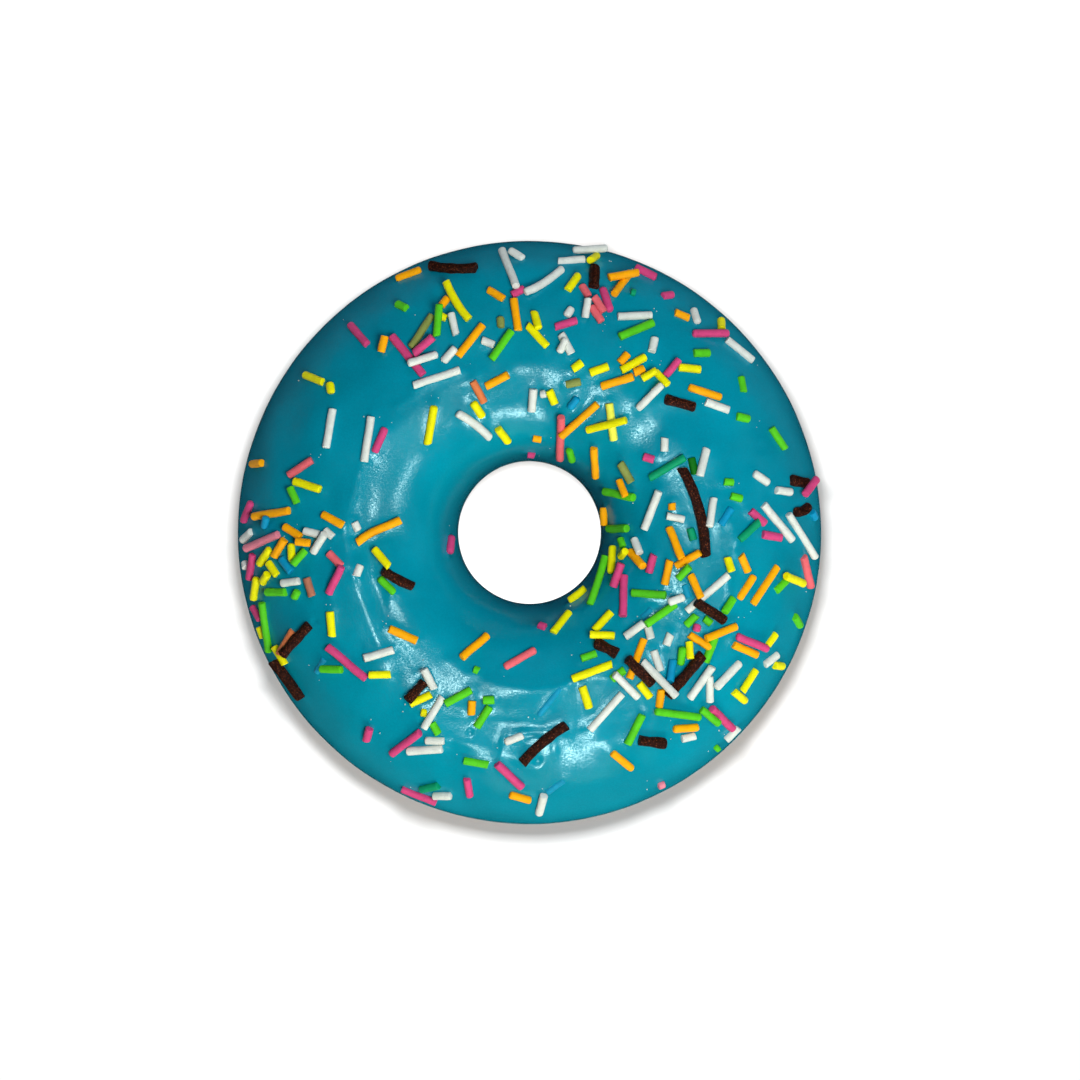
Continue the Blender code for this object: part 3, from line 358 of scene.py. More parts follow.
def rest(colour, radius, middle, along, up, length, bow, laid):
    """A sprinkle of this length at rest on the icing and on the sprinkles laid before it, never
    too steep, or in between them where they would hold it up too high."""
    along = unit(along - up * (along @ up))
    side = np.cross(up, along)
    half = length / 2
    places = np.linspace(-half, half, STATIONS)
    bowed = bow * (1 - (places / half) ** 2)
    line = middle + np.outer(places, along) + np.outer(bowed, side)
    bare = radius - SINK - height_over_icing(line, up)
    below = near(laid, middle, half + BESIDE)
    heights = np.maximum(bare, height_for(line, radius, stretches(below), up)) if below else bare
    on_icing = resting_line(places, bare)
    slope = min(max(resting_line(places, heights)[1], -STEEPEST), STEEPEST)
    height = (heights - slope * places).max()
    if height - on_icing[0] > HIGHEST_LIFT:
        height, slope = on_icing
    return Sprinkle(colour, radius, line + np.outer(height + slope * places, up), up)


def on_plan(bearing, distance, radius):
    """A place of the plan, kept far enough inside the ring's edges for a sprinkle to lie there."""
    proud = 2 * radius - SINK
    distance = min(max(distance * MM, HOLE_RADIUS + proud), RING_RADIUS - proud)
    heading = math.radians(bearing)
    return np.array([distance * math.cos(heading), distance * math.sin(heading)])


def lay_sprinkles():
    draw = np.random.default_rng(DRAW_SEED)
    laid = []
    for colour, bearing_a, distance_a, bearing_b, distance_b, *bow in SPRINKLES:
        radius = CHOCOLATE_RADIUS if colour == "c" else SUGAR_RADIUS
        radius *= draw.uniform(1 - UNEVENNESS, 1 + UNEVENNESS)
        first = on_plan(bearing_a, distance_a, radius)
        second = on_plan(bearing_b, distance_b, radius)
        start, end = icing_top(*first)[0], icing_top(*second)[0]
        middle, up = icing_top(*(first + second) / 2)
        along = unit(end - start)
        outward = 1 if np.cross(up, along)[:2] @ middle[:2] > 0 else -1
        length = np.linalg.norm(end - start)
        bowed = outward * sum(bow) * MM
        tried = rest(colour, radius, middle, along, up, length, bowed, laid)
        ends = tried.path[[0, -1], :2]
        off = ends.mean(axis=0) - (first + second) / 2
        middle = middle - np.append(off, -(off @ up[:2]) / up[2])
        length *= min(1, np.linalg.norm(second - first) / np.linalg.norm(ends[1] - ends[0]))
        laid.append(rest(colour, radius, middle, along, up, length, bowed, laid))
    return laid


# Relief that only this scene has: bearing, distance, half length round the ring, half width
# across it, height. Degrees and millimetres.
PITS = (
    (272.1, 35.0, 0.62, 0.62, -0.45), (253.6, 32.0, 0.30, 0.30, -0.40),
    (202.4, 35.5, 0.36, 0.36, -0.30), (143.5, 31.0, 0.20, 0.20, -0.20),
    (20.0, 38.0, 0.62, 0.62, -0.22), (20.0, 38.0, 0.30, 0.30, 0.16),
)
CREASES = (
    (269.5, 31.6, 2.6, 0.40, -0.16), (271.5, 30.6, 2.6, 0.45, 0.14), (263.0, 33.2, 0.5, 2.6, 0.16),
    (276.5, 33.0, 0.6, 2.2, 0.16), (247.5, 30.2, 2.0, 0.8, 0.16), (252.0, 33.8, 2.2, 0.8, 0.14),
    (283.0, 31.0, 1.2, 2.4, -0.18), (289.0, 33.6, 1.5, 2.4, 0.16), (345.0, 33.5, 1.6, 2.2, 0.18),
    (8.0, 29.6, 3.0, 1.2, 0.16), (340.0, 29.5, 2.5, 1.0, 0.14), (112.0, 25.0, 3.0, 1.4, 0.16),
)
# Strands sunk so deep that the icing tints them: bearing and distance of both ends
GLAZED = (
    (211.6, 36.9, 213.4, 39.2), (272.8, 28.2, 281.2, 24.2), (273.8, 40.3, 278.0, 38.6),
    (337.8, 26.4, 341.5, 25.0), (322.8, 21.6, 328.0, 22.0),
)
GLAZED_DEPTH = 0.28 * MM  # of their middle line
# Creases of the icing: height and half width, and the bearing and distance of the points that
# each runs through. Degrees and millimetres.
LINES = (
    (0.15, 0.75, 160.0, 27.6, 180.7, 28.2, 189.4, 27.6, 203.0, 27.5, 214.0, 28.4, 218.7, 28.8),
    (0.12, 0.70, 185.0, 21.6, 192.0, 21.2, 205.5, 23.8, 213.2, 25.3, 222.8, 26.4, 229.5, 27.1),
    (0.14, 0.90, 238.2, 23.0, 246.2, 23.7, 259.4, 23.6, 271.9, 24.3, 283.4, 23.9, 296.9, 24.9),
    (0.16, 1.10, 262.0, 34.0, 272.0, 36.3, 278.0, 32.3, 293.8, 30.5, 301.5, 31.5),
    (0.14, 0.80, 2.2, 31.0, -3.5, 31.5, -17.1, 31.3, -25.2, 31.4, -36.0, 32.0),
    (0.10, 0.80, -9.6, 27.2, -17.9, 26.5, -32.4, 26.8, -39.7, 27.4),
    (0.12, 0.80, 108.0, 26.0, 116.0, 28.2, 126.0, 27.4, 136.0, 28.0),
)
# Waves of the icing too small for the solid: shortest and longest, how many, and how strong
ICING_WAVES = ((6.5 * MM, 13.0 * MM, 26, 0.09 * MM), (2.4 * MM, 4.5 * MM, 40, 0.004 * MM))
CRUST_WAVES = ((4.0 * MM, 9.0 * MM, 26, 0.10 * MM), (1.2 * MM, 2.6 * MM, 60, 0.030 * MM))
# Crumbs of sugar beside the strands
CRUMBS = 150
CRUMB_RADII = (0.05 * MM, 0.13 * MM)
CRUMB_GAPS = (0.1 * MM, 1.3 * MM)
CRUMB_COLOUR = (206, 220, 218)
CRUMB_SCATTER = 1.2  # how much of a crumb's direction comes from the strand beside it
CRUMB_LIFT = 0.08 * MM  # of its middle, over the icing
CRUMB_STRETCH = (0.7, 1.2)  # of its corners, as shares of its radius
CRUMB_MARGINS = (1 * MM, 1.5 * MM)  # kept clear at the hole and at the outside
MENISCUS = 0.14 * MM  # how far the icing climbs a strand
MENISCUS_WIDTH = 0.45 * MM
BEAD_WIDTH = 2.4  # how wide the bead at the icing's rim is, in roundings of the rim
LEAST_RELIEF = 0.12  # share of the relief that is left at the waist and below it
RELIEF_GAIN = 1.4  # how fast the rest of it comes in above the waist

# How finely the pieces are cut
ICING_BEARINGS = 640
ICING_ROWS = 144
UNDER_SHARES = (1.0, 0.98, 0.9, 0.75, 0.5, 0.25, 0.1, 0.02, 0.0)  # rows of its underside
CRUST_BEARINGS = 300
CRUST_ROWS = 150
STRAND_SIDES = 12
STRAND_RINGS = 9

# The strands' ends: how far in from the end, in millimetres, and the share of the radius there
CUT_END = ((0.0, 0.74), (0.02, 0.90), (0.07, 0.97), (0.16, 1.0))
ROUND_END = ((0.0, 0.44), (0.08, 0.76), (0.22, 0.93), (0.42, 1.0))
ROUND_SHARE = 0.2  # of the strands, those with round ends
CUT_REACH = 0.5 * MM  # how far from the end a slanting cut shows
CUT_SLANT = 0.12  # of the radius
WAVER = 0.004  # how far a strand wavers to the side, as a share of its length
# How uneven the strands are: share of the radius, and how rough against how wavy
SUGAR_WOBBLE = (0.014, 0.25)
CHOCOLATE_WOBBLE = (0.05, 0.5)
# Their waves along the strand, in radians for each millimetre
SWELL_PACE = (1.2, 2.4)
LUMP_PACE = (1.5, 3.0)

# Colours as they look, 0 to 255
ICING_COLOUR = (0, 131, 156)
STRANDS = {
    "c": ("chocolate", (45, 17, 9)),
    "w": ("white", (208, 214, 211)),
    "y": ("yellow", (227, 223, 0)),
    "l": ("pale_yellow", (231, 234, 84)),
    "o": ("orange", (244, 165, 2)),
    "s": ("salmon_orange", (214, 119, 70)),
    "p": ("pink", (200, 66, 122)),
    "r": ("salmon", (220, 98, 109)),
    "f": ("pale_pink", (217, 127, 148)),
    "g": ("green", (80, 191, 30)),
    "d": ("dark_green", (8, 104, 16)),
    "t": ("teal_green", (0, 145, 100)),
    "b": ("blue", (0, 138, 184)),
    "k": ("olive", (130, 142, 74)),
    "n": ("tan", (170, 110, 88)),
    "z": ("glazed", (10, 138, 176)),
}
# Painted glints: the light brown of small specks that stand in for the chocolate strands' glints
CHOCOLATE_PAINTED_GLINT = (138, 72, 44)
CRUST_BROWNS = ((150, 84, 34), (186, 116, 52))
CRUST_DARK = (132, 70, 28)
CRUST_PALES = ((226, 184, 118), (240, 206, 146))
CRUST_FRECKLE = (118, 62, 26)
TABLE_TONES = (0.86, 0.88)  # linear


def linear(colour):
    share = np.array(colour) / 255
    return tuple(np.where(share <= 0.04045, share / 12.92, ((share + 0.055) / 1.055) ** 2.4))


# Shapes


def plane_waves(points, terms, draw):
    """Smooth uneven heights: plane waves in random directions, for each set of terms."""
    total = np.zeros(points.shape[:-1])
    for shortest, longest, count, strength in terms:
        lengths = draw.uniform(shortest, longest, count)
        ways = unit(draw.normal(size=(count, 3))) * (math.tau / lengths)[:, None]
        phases = draw.uniform(0, math.tau, count)
        total += np.sin(points @ ways.T + phases).sum(axis=-1) * strength * math.sqrt(2 / count)
    return total


def bumps(points, terms):
    """Heights of small round or long swells, in metres."""
    distance = np.hypot(points[..., 0], points[..., 1])
    bearing = np.arctan2(points[..., 1], points[..., 0])
    total = np.zeros(distance.shape)
    for degrees, reach, length, width, height in terms:
        along = around(bearing, degrees) * distance / (length * MM)
        across = (distance - reach * MM) / (width * MM)
        total += height * MM * np.exp(-(along**2) - across**2)
    return total


def raised_lines(points):
    """How far the icing is raised along these lines of the plan."""
    raised = np.zeros(len(points))
    for height, width, *places in LINES:
        headings, distances = np.radians(places[::2]), np.array(places[1::2]) * MM
        corners = np.stack([distances * np.cos(headings), distances * np.sin(headings)], axis=-1)
        for first, second in zip(corners[:-1], corners[1:]):
            line = second - first
            away = points[:, :2] - first
            share = np.clip(away @ line / (line @ line), 0, 1)
            beside = np.linalg.norm(away - share[:, None] * line, axis=-1) / (width * MM)
            raised = np.maximum(raised, height * MM * np.exp(-(beside**2)))
    return np.where(points[:, 2] > WAIST_HEIGHT, raised, 0)


def glazed_strands():
    """Strands sunk deeper in the icing than the others, in a colour near its own."""
    glazed = []
    for row in GLAZED:
        ends = [on_plan(*row[:2], SUGAR_RADIUS), on_plan(*row[2:], SUGAR_RADIUS)]
        path = []
        for share in np.linspace(0, 1, STATIONS):
            place, up = icing_top(*(ends[0] + (ends[1] - ends[0]) * share))
            path.append(place - up * GLAZED_DEPTH)
        glazed.append(Sprinkle("z", SUGAR_RADIUS, np.array(path), up))
    return glazed


def gap_to_strands(points, laid):
    """How far each point is from the nearest strand's skin."""
    gap = np.full(len(points), 1.0)
    for strand in laid:
        start, end = strand.path[0], strand.path[-1]
        reach = np.linalg.norm(end - start) / 2 + strand.radius + 4 * MENISCUS_WIDTH
        close = np.flatnonzero(np.linalg.norm(points - (start + end) / 2, axis=1) < reach)
        for first, second in zip(strand.path[:-1:2], strand.path[2::2]):
            line = second - first
            away = points[close] - first
            share = np.clip(away @ line / (line @ line), 0, 1)
            beside = np.linalg.norm(away - share[:, None] * line, axis=1) - strand.radius
            gap[close] = np.minimum(gap[close], beside)
    return gap


def skin_mesh(name, points):
    """A closed skin through a grid of points, round the ring and round its section."""
    count, rows = points.shape[:2]
    i, j = np.meshgrid(np.arange(count), np.arange(rows), indexing="ij")
    ahead, above = (i + 1) % count, (j + 1) % rows
    corners = (i * rows + j, ahead * rows + j, ahead * rows + above, i * rows + above)
    faces = np.stack(corners, axis=-1).reshape(-1, 4)
    return mesh_of(name, points.reshape(-1, 3), faces.tolist())


def mesh_of(name, points, faces):
    mesh = bpy.data.meshes.new(name)
    mesh.from_pydata(points.tolist(), [], faces)
    mesh.validate()
    mesh.shade_smooth()
    return mesh


def icing_points(laid, draw):
    """The icing's skin: over the top from rim to rim, and back underneath."""
    bearing = (np.arange(ICING_BEARINGS) * math.tau / ICING_BEARINGS)[:, None]
    outer, inner = rim_turns(bearing)
    tip, far_tip = outer - RIM_ROUNDING, inner + RIM_ROUNDING
    share = np.linspace(0, 1, ICING_ROWS)
    turn = tip + (far_tip - tip) * share
    from_tip = np.minimum(turn - tip, far_tip - turn) / (BEAD_WIDTH * RIM_ROUNDING)
    bead = np.sqrt(1 - (1 - np.clip(from_tip, 0, 1)) ** 2)
    past_rim = RIM_DEPTHS[1]
    top = icing_skin(bearing + 0 * turn, turn, past_rim + (1 - past_rim) * bead)
    faces_out = skin_normal(bearing + 0 * turn, turn)
    flat = top.reshape(-1, 3)
    relief = plane_waves(flat, ICING_WAVES, draw) + bumps(flat, PITS + CREASES)
    relief = relief + raised_lines(flat)
    gap = np.maximum(gap_to_strands(flat, laid), 0)
    kept = np.clip(LEAST_RELIEF + RELIEF_GAIN * np.sin(turn), LEAST_RELIEF, 1)
    relief = relief.reshape(turn.shape) * bead * kept
    meniscus = (MENISCUS * np.exp(-gap / MENISCUS_WIDTH)).reshape(turn.shape) * bead
    top = top + faces_out * (relief + meniscus)[..., None]
    under_turn = outer + (inner - outer) * np.array(UNDER_SHARES)
    under = icing_skin(bearing + 0 * under_turn, under_turn, 0.0)
    return np.concatenate([top, under], axis=1)


def crust_points(draw):
    bearing = (np.arange(CRUST_BEARINGS) * math.tau / CRUST_BEARINGS)[:, None]
    turn = (np.arange(CRUST_ROWS) * math.tau / CRUST_ROWS)[None]
    bearing, turn = np.broadcast_arrays(bearing, turn)
    points = dough_skin(bearing, turn)
    relief = plane_waves(points, CRUST_WAVES, draw)
    below = np.clip(-np.sin(turn) * 3 + 0.2, 0, 1)
    points = points + skin_normal(bearing, turn) * (relief * below)[..., None]
    points[..., 2] = np.maximum(points[..., 2], 0)
    return points


def strand_points(strand, draw):
    """Rings of points along a strand, and the middles of its two ends."""
    start, end = strand.path[0], strand.path[-1]
    length = np.linalg.norm(end - start)
    along = (end - start) / length
    side = np.cross(strand.up, along)
    up = np.cross(along, side)
    bow = strand.path[STATIONS // 2] - (start + end) / 2
    profile = ROUND_END if draw.random() < ROUND_SHARE else CUT_END
    ends = np.array(profile) * (MM, 1)
    ends[:, 0] *= min(1, length / (4 * ends[-1, 0]))
    inner = np.linspace(ends[-1, 0], length - ends[-1, 0], STRAND_RINGS)[1:-1]
    places = np.concatenate([ends[:, 0], inner, length - ends[::-1, 0]])
    shares = np.concatenate([ends[:, 1], np.ones(len(inner)), ends[::-1, 1]])
    angles = math.tau * np.arange(STRAND_SIDES) / STRAND_SIDES
    wobble, rough = CHOCOLATE_WOBBLE if strand.colour == "c" else SUGAR_WOBBLE
    t = places / length
    steps = places[:, None] / MM
    swelling = np.sin(steps * draw.uniform(*SWELL_PACE) + draw.uniform(0, math.tau))
    lumps = np.sin(2 * angles + steps * draw.uniform(*LUMP_PACE) + draw.uniform(0, math.tau))
    lumps = lumps + draw.normal(size=lumps.shape) * rough
    radius = strand.radius * shares[:, None] * (1 + wobble * swelling + wobble * lumps)
    first_cut, last_cut = draw.normal() * np.sin(angles), draw.normal() * np.cos(angles)
    cut = np.where((t < 0.5)[:, None], first_cut, last_cut)
    near_end = np.clip(1 - np.minimum(places, length - places) / CUT_REACH, 0, 1)[:, None]
    shift = CUT_SLANT * strand.radius * cut * near_end * shares[:, None]
    extra = draw.normal() * WAVER * length
    middle = start + np.outer(places, along) + np.outer(4 * t * (1 - t), bow)
    middle = middle + np.outer(extra * np.sin(math.tau * t), side)
    ring = radius[..., None] * (
        np.cos(angles)[:, None] * side + np.sin(angles)[:, None] * up
    ) + shift[..., None] * along
    rings = middle[:, None] + ring
    caps = rings[[0, -1]].mean(axis=1)
    return rings, caps


def strands_mesh(name, strands, draw):
    points, faces, first = [], [], 0
    for strand in strands:
        rings, caps = strand_points(strand, draw)
        count = len(rings)
        points += [rings.reshape(-1, 3), caps]
        for i in range(count - 1):
            for k in range(STRAND_SIDES):
                near_side = first + i * STRAND_SIDES
                far_side = near_side + STRAND_SIDES
                after = (k + 1) % STRAND_SIDES
                faces.append((near_side + k, near_side + after, far_side + after, far_side + k))
        cap = first + count * STRAND_SIDES
        last = cap - STRAND_SIDES
        for k in range(STRAND_SIDES):
            after = (k + 1) % STRAND_SIDES
            faces.append((cap, first + after, first + k))
            faces.append((cap + 1, last + k, last + after))
        first = cap + 2
    return mesh_of(name, np.concatenate(points), faces)


def crumbs_mesh(name, laid, draw):
    """Crumbs of uneven shape on the icing, each beside the end of a strand."""
    shape = bmesh.new()
    for _ in range(CRUMBS):
        strand = laid[draw.integers(len(laid))]
        end, before = strand.path[0], strand.path[1]
        heading = draw.normal(size=2) + CRUMB_SCATTER * unit((end - before)[:2])
        plan = end[:2] + unit(heading) * (strand.radius + draw.uniform(*CRUMB_GAPS))
        nearest, furthest = HOLE_RADIUS + CRUMB_MARGINS[0], RING_RADIUS - CRUMB_MARGINS[1]
        distance = np.clip(np.linalg.norm(plan), nearest, furthest)
        place, up = icing_top(*(unit(plan) * distance))
        radius = draw.uniform(*CRUMB_RADII)
        made = bmesh.ops.create_icosphere(shape, subdivisions=1, radius=radius)
        for vert in made["verts"]:
            corner = np.array(vert.co) * draw.uniform(*CRUMB_STRETCH)
            vert.co = place + up * CRUMB_LIFT + corner
    mesh = bpy.data.meshes.new(name)
    shape.to_mesh(mesh)
    shape.free()
    mesh.shade_smooth()
    return mesh


# Materials


def node(tree, kind, inputs=(), **settings):
    """A shader node with these settings. An input is a value, or another node's output."""
    made = tree.nodes.new(kind)
    for name, value in settings.items():
        setattr(made, name, value)
    for name, value in dict(inputs).items():
        if isinstance(value, bpy.types.NodeSocket):
            tree.links.new(value, made.inputs[name])
        else:
            made.inputs[name].default_value = value
    return made


def new_material(name):
    made = bpy.data.materials.new(name)
    made.use_nodes = True
    tree = made.node_tree
    tree.nodes.clear()
    shader = node(tree, "ShaderNodeBsdfPrincipled")
    node(tree, "ShaderNodeOutputMaterial", {"Surface": shader.outputs[0]})
    place = node(tree, "ShaderNodeTexCoord").outputs["Object"]
    return made, tree, shader, place


def noise(tree, place, size, detail=2.0, roughness=0.5):
    """Noise whose features are about this large, as a value round 0.5."""
    inputs = {"Vector": place, "Scale": 1 / size, "Detail": detail, "Roughness": roughness}
    return node(tree, "ShaderNodeTexNoise", inputs).outputs["Fac"]


def ranged(tree, value, low, high, to_low, to_high):
    inputs = {"Value": value, 1: low, 2: high, 3: to_low, 4: to_high}
    return node(tree, "ShaderNodeMapRange", inputs).outputs["Result"]


def mixed(tree, share, first, second):
    made = node(tree, "ShaderNodeMix", data_type="RGBA")
    for socket, value in ((0, share), (6, first), (7, second)):
        if isinstance(value, bpy.types.NodeSocket):
            tree.links.new(value, made.inputs[socket])
        else:
            made.inputs[socket].default_value = (*value, 1) if socket else value
    return made.outputs[2]


def bump(tree, height, distance, strength=1.0, normal=None):
    inputs = {"Height": height, "Distance": distance, "Strength": strength}
    if normal:
        inputs["Normal"] = normal
    return node(tree, "ShaderNodeBump", inputs).outputs["Normal"]


def icing_material():
    made, tree, shader, place = new_material("teal icing")
    colour = np.array(linear(ICING_COLOUR))
    broad = ranged(tree, noise(tree, place, 9 * MM, 3), 0.35, 0.65, 0, 1)
    tone = mixed(tree, broad, colour * 0.93, colour * 1.07)
    fine = ranged(tree, noise(tree, place, 0.5 * MM, 3), 0.3, 0.7, 0, 1)
    tone = mixed(tree, ranged(tree, fine, 0, 1, 0.0, 0.12), tone, colour * 1.3)
    tree.links.new(tone, shader.inputs["Base Color"])
    satin = ranged(tree, noise(tree, place, 1.2 * MM, 4), 0.3, 0.7, 0.19, 0.26)
    tree.links.new(satin, shader.inputs["Roughness"])
    shader.inputs["Specular Tint"].default_value = (0.68, 1.0, 1.0, 1)
    sparkle = ranged(tree, noise(tree, place, 0.26 * MM, 2), 0.38, 0.62, 0.20, 1.20)
    tree.links.new(sparkle, shader.inputs["Specular IOR Level"])
    grain = noise(tree, place, 0.30 * MM, 2)
    dimples = noise(tree, place, 0.9 * MM, 2)
    normal = bump(tree, dimples, 0.010 * MM)
    tree.links.new(bump(tree, grain, 0.018 * MM, normal=normal), shader.inputs["Normal"])
    return made


def strand_material(letter):
    name, shade = STRANDS[letter]
    made, tree, shader, place = new_material(f"{name} strands")
    colour = np.array(linear(shade))
    if letter == "c":
        crumbs = noise(tree, place, 0.35 * MM, 4, 0.65)
        # Painted shade and light: the bump's own noise makes the chocolate darker in its hollows
        # and lighter on its raised grains
        tone = mixed(tree, ranged(tree, crumbs, 0.42, 0.68, 0, 1), colour * 0.35, colour * 1.8)
        # Painted glints: light brown specks scattered over the chocolate
        painted_glint_and_pit_shade_specks = ranged(tree, noise(tree, place, 0.20 * MM, 1), 0.62, 0.70, 0, 0.8)
        tone = mixed(tree, painted_glint_and_pit_shade_specks, tone, linear(CHOCOLATE_PAINTED_GLINT))
        normal = bump(tree, crumbs, 0.30 * MM)
        rough = 0.55
        shader.inputs["Specular IOR Level"].default_value = 0.18
    else:
        patches = noise(tree, place, 1.1 * MM, 3)
        light = np.minimum(colour * 1.06, 1)
        tone = mixed(tree, ranged(tree, patches, 0.3, 0.7, 0, 1), colour * 0.90, light)
        # Painted shade: dark specks that stand in for the shade in small pits of the sugar
        painted_glint_and_pit_shade_specks = ranged(tree, noise(tree, place, 0.22 * MM, 1), 0.66, 0.72, 0, 0.5)
        tone = mixed(tree, painted_glint_and_pit_shade_specks, tone, colour * 0.55)
        normal = bump(tree, noise(tree, place, 0.28 * MM, 3), 0.045 * MM)
        rough = 0.6
        shader.inputs["Specular IOR Level"].default_value = 0.25
    tree.links.new(tone, shader.inputs["Base Color"])
    tree.links.new(normal, shader.inputs["Normal"])
    shader.inputs["Roughness"].default_value = rough
    return made


def crumb_material():
    made, tree, shader, place = new_material("sugar crumbs")
    colour = np.array(linear(CRUMB_COLOUR))
    tone = mixed(tree, noise(tree, place, 0.9 * MM, 2), colour * 0.7, colour * 1.1)
    tree.links.new(tone, shader.inputs["Base Color"])
    tree.links.new(bump(tree, noise(tree, place, 0.1 * MM, 2), 0.02 * MM), shader.inputs["Normal"])
    shader.inputs["Roughness"].default_value = 0.35
    return made


def crust_material():
    made, tree, shader, place = new_material("fried crust")
    height = node(tree, "ShaderNodeSeparateXYZ", {"Vector": place}).outputs["Z"]
    patches = noise(tree, place, 7 * MM, 4, 0.55)
    shift = ranged(tree, patches, 0.3, 0.7, -1.6 * MM, 1.6 * MM)
    level = node(tree, "ShaderNodeMath", {0: height, 1: shift}, operation="ADD").outputs[0]
    brown = mixed(tree, patches, *map(linear, CRUST_BROWNS))
    dark = mixed(tree, noise(tree, place, 2.2 * MM, 4), linear(CRUST_DARK), brown)
    pale = mixed(tree, noise(tree, place, 1.5 * MM, 4), *map(linear, CRUST_PALES))
    band = ranged(tree, level, 4.5 * MM, 8.5 * MM, 0, 1)
    tone = mixed(tree, band, dark, pale)
    freckles = ranged(tree, noise(tree, place, 0.6 * MM, 3), 0.58, 0.74, 0, 0.55)
    tone = mixed(tree, freckles, tone, linear(CRUST_FRECKLE))
    tree.links.new(tone, shader.inputs["Base Color"])
    tree.links.new(ranged(tree, patches, 0.3, 0.7, 0.42, 0.58), shader.inputs["Roughness"])
    wrinkles = noise(tree, place, 0.9 * MM, 5, 0.62)
    pores = noise(tree, place, 0.25 * MM, 2)
    normal = bump(tree, wrinkles, 0.16 * MM)
    tree.links.new(bump(tree, pores, 0.03 * MM, normal=normal), shader.inputs["Normal"])
    return made


# The scene


def add_piece(name, mesh, finish, collection):
    piece = bpy.data.objects.new(name, mesh)
    mesh.materials.append(finish)
    bpy.context.scene.collection.objects.link(piece)
    collection.objects.link(piece)
    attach(piece, "root")
    return piece


FLOOR_GAP = 0.05 * MM  # keeps the table clear of the flat underside
FLOOR_REACH = 6  # metres


def add_floor(collection):
    signs = ((-1, -1), (1, -1), (1, 1), (-1, 1))
    corners = [(x * FLOOR_REACH, y * FLOOR_REACH, -FLOOR_GAP) for x, y in signs]
    mesh = mesh_of("floor", np.array(corners), [(0, 1, 2, 3)])
    floor = bpy.data.objects.new("floor", mesh)
    made, tree, shader, place = new_material("pale table")
    darker, lighter = ((tone,) * 3 for tone in TABLE_TONES)
    tone = mixed(tree, noise(tree, place, 30 * MM, 3), darker, lighter)
    tree.links.new(tone, shader.inputs["Base Color"])
    shader.inputs["Roughness"].default_value = 0.8
    mesh.materials.append(made)
    bpy.context.scene.collection.objects.link(floor)
    collection.objects.link(floor)
    floor.visible_glossy = False


def aimed(obj, place, target):
    obj.location = place
    way = np.array(target) - np.array(place)
    obj.rotation_euler = (
        math.atan2(math.hypot(way[0], way[1]), -way[2]),
        0,
        math.atan2(way[1], way[0]) - math.pi / 2,
    )
    bpy.context.scene.collection.objects.link(obj)


def add_lamp(name, bearing, elevation, distance, size, power, colour, lit):
    """A soft square lamp that looks at the doughnut and lights one collection."""
    light = bpy.data.lights.new(name, "AREA")
    light.shape = "RECTANGLE"
    light.size, light.size_y = size
    light.energy = power
    light.color = colour
    lamp = bpy.data.objects.new(name, light)
    level, heading = math.radians(elevation), math.radians(bearing)
    across = distance * math.cos(level)
    place = (across * math.cos(heading), across * math.sin(heading), distance * math.sin(level))
    aimed(lamp, place, LAMP_TARGET)
    lamp.light_linking.receiver_collection = lit
    lamp.visible_camera = False
    return lamp


def add_hole_lamp(lit):
    """A narrow lamp straight above, so that the table shows white through the hole too."""
    light = bpy.data.lights.new("hole lamp", "SPOT")
    light.energy = HOLE_LAMP
    light.spot_size = 2 * math.atan(HOLE_LAMP_SPREAD * HOLE_RADIUS / HOLE_LAMP_HEIGHT)
    light.spot_blend = 0.3
    light.shadow_soft_size = 1 * MM
    lamp = bpy.data.objects.new("hole lamp", light)
    lamp.location = (0, 0, HOLE_LAMP_HEIGHT)
    bpy.context.scene.collection.objects.link(lamp)
    lamp.light_linking.receiver_collection = lit


def add_table_fill(lit):
    light = bpy.data.lights.new("table fill", "SUN")
    light.energy = TABLE_FILL
    light.color = TABLE_FILL_COLOUR
    light.use_shadow = False
    lamp = bpy.data.objects.new("table fill", light)
    bpy.context.scene.collection.objects.link(lamp)
    lamp.light_linking.receiver_collection = lit


def add_world():
    world = bpy.data.worlds.new("studio")
    world.use_nodes = True
    world.node_tree.nodes["Background"].inputs["Color"].default_value = (*AMBIENT_COLOUR, 1)
    world.node_tree.nodes["Background"].inputs["Strength"].default_value = AMBIENT
    world.cycles_visibility.glossy = False
    bpy.context.scene.world = world


# Light: bearing, elevation, distance, size, power, colour. The wide lamps give the icing its
# light and shade, the narrow ones its highlights.
LAMP_TARGET = (0, 0, 20 * MM)
AMBIENT = 0.04
AMBIENT_COLOUR = (0.94, 0.98, 1.0)
WIDE_LAMPS = {
    "key": (325, 76, 0.5, (0.20, 0.18), 2.30, (1.0, 1.0, 0.93)),
    "low": (280, 17, 0.5, (0.26, 0.12), 1.45, (1.0, 0.98, 0.80)),
    "right": (10, 28, 0.5, (0.20, 0.20), 0.25, (0.85, 1.0, 1.0)),
    "back": (90, 50, 0.5, (0.24, 0.20), 0.36, (0.62, 0.76, 1.0)),
}
NARROW_LAMPS = {
    "above": (228, 77, 0.5, (0.08, 0.08), 0.42, (1.0, 1.0, 1.0)),
    "front": (277, 42, 0.5, (0.20, 0.07), 0.95, (1.0, 1.0, 1.0)),
    "side": (338, 58, 0.5, (0.09, 0.07), 0.24, (1.0, 1.0, 1.0)),
}
TABLE_LAMP = (90, 85.2, 0.47, (0.06, 0.06), 1.9, (1.0, 1.0, 1.0))
TABLE_FILL = 1.3  # even light on the table alone, as strong in the shadow as beside it
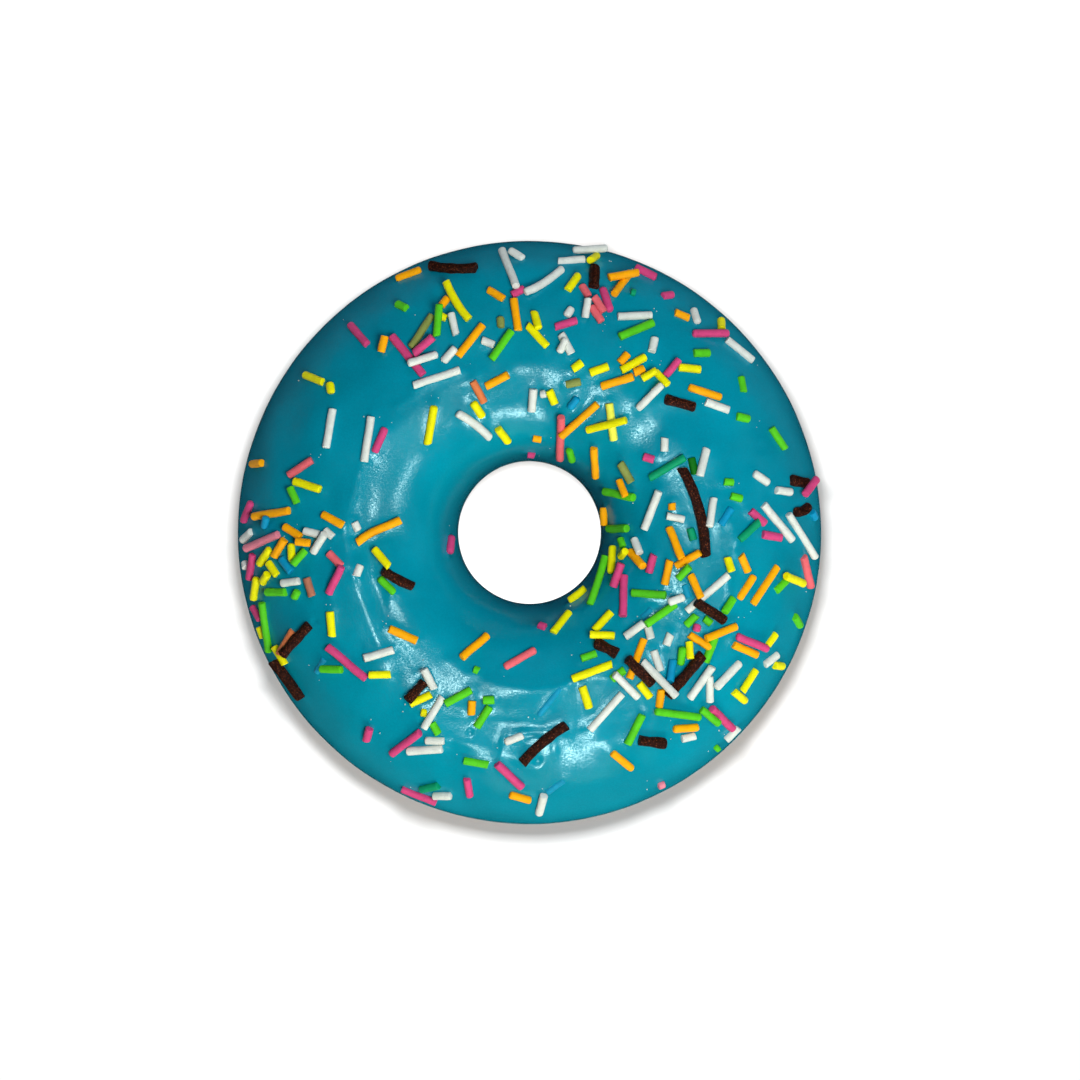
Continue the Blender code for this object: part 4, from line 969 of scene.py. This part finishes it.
HOLE_LAMP = 2.2  # the power of the narrow lamp that lights the table through the hole
HOLE_LAMP_HEIGHT = 463 * MM
HOLE_LAMP_SPREAD = 1.5  # its cone at the table, in radii of the hole
TABLE_FILL_COLOUR = (0.94, 0.99, 1.0)

# Camera, straight above: its middle is a little right of and below the hole
CAMERA_X = 1.62 * MM
CAMERA_Y = -1.16 * MM
CAMERA_DISTANCE = 2315 * MM  # from the waist
FOCAL_LENGTH = 500
SENSOR = 36


def add_camera():
    data = bpy.data.cameras.new("camera")
    data.lens = FOCAL_LENGTH
    data.sensor_width = SENSOR
    camera = bpy.data.objects.new("camera", data)
    camera.location = (CAMERA_X, CAMERA_Y, WAIST_HEIGHT + CAMERA_DISTANCE)
    bpy.context.scene.collection.objects.link(camera)
    bpy.context.scene.camera = camera


def main():
    draw = np.random.default_rng(LOOKS_SEED)
    laid = lay_sprinkles() + glazed_strands()
    doughnut = bpy.data.collections.new("doughnut")
    table = bpy.data.collections.new("table")

    icing = skin_mesh("icing_coat", icing_points(laid, draw))
    icing = add_piece("icing_coat", icing, icing_material(), doughnut)
    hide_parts("icing")
    crust = skin_mesh("crust", crust_points(draw))
    crust = add_piece("crust", crust, crust_material(), doughnut)
    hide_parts("dough")
    for letter, (name, _) in STRANDS.items():
        strands = [strand for strand in laid if strand.colour == letter]
        mesh = strands_mesh(f"strands_{name}", strands, draw)
        add_piece(f"strands_{name}", mesh, strand_material(letter), doughnut)

    mesh = crumbs_mesh("crumbs", laid, draw)
    add_piece("crumbs", mesh, crumb_material(), doughnut)

    add_floor(table)
    for name, lamp in WIDE_LAMPS.items():
        add_lamp(name, *lamp, doughnut).visible_glossy = False
    for name, lamp in NARROW_LAMPS.items():
        add_lamp(name, *lamp, doughnut).visible_diffuse = False
    add_lamp("table lamp", *TABLE_LAMP, table)
    add_hole_lamp(table)
    add_table_fill(table)
    add_world()
    add_camera()
    bpy.context.scene.view_settings.view_transform = "Standard"


LOOKS_SEED = 5
main()
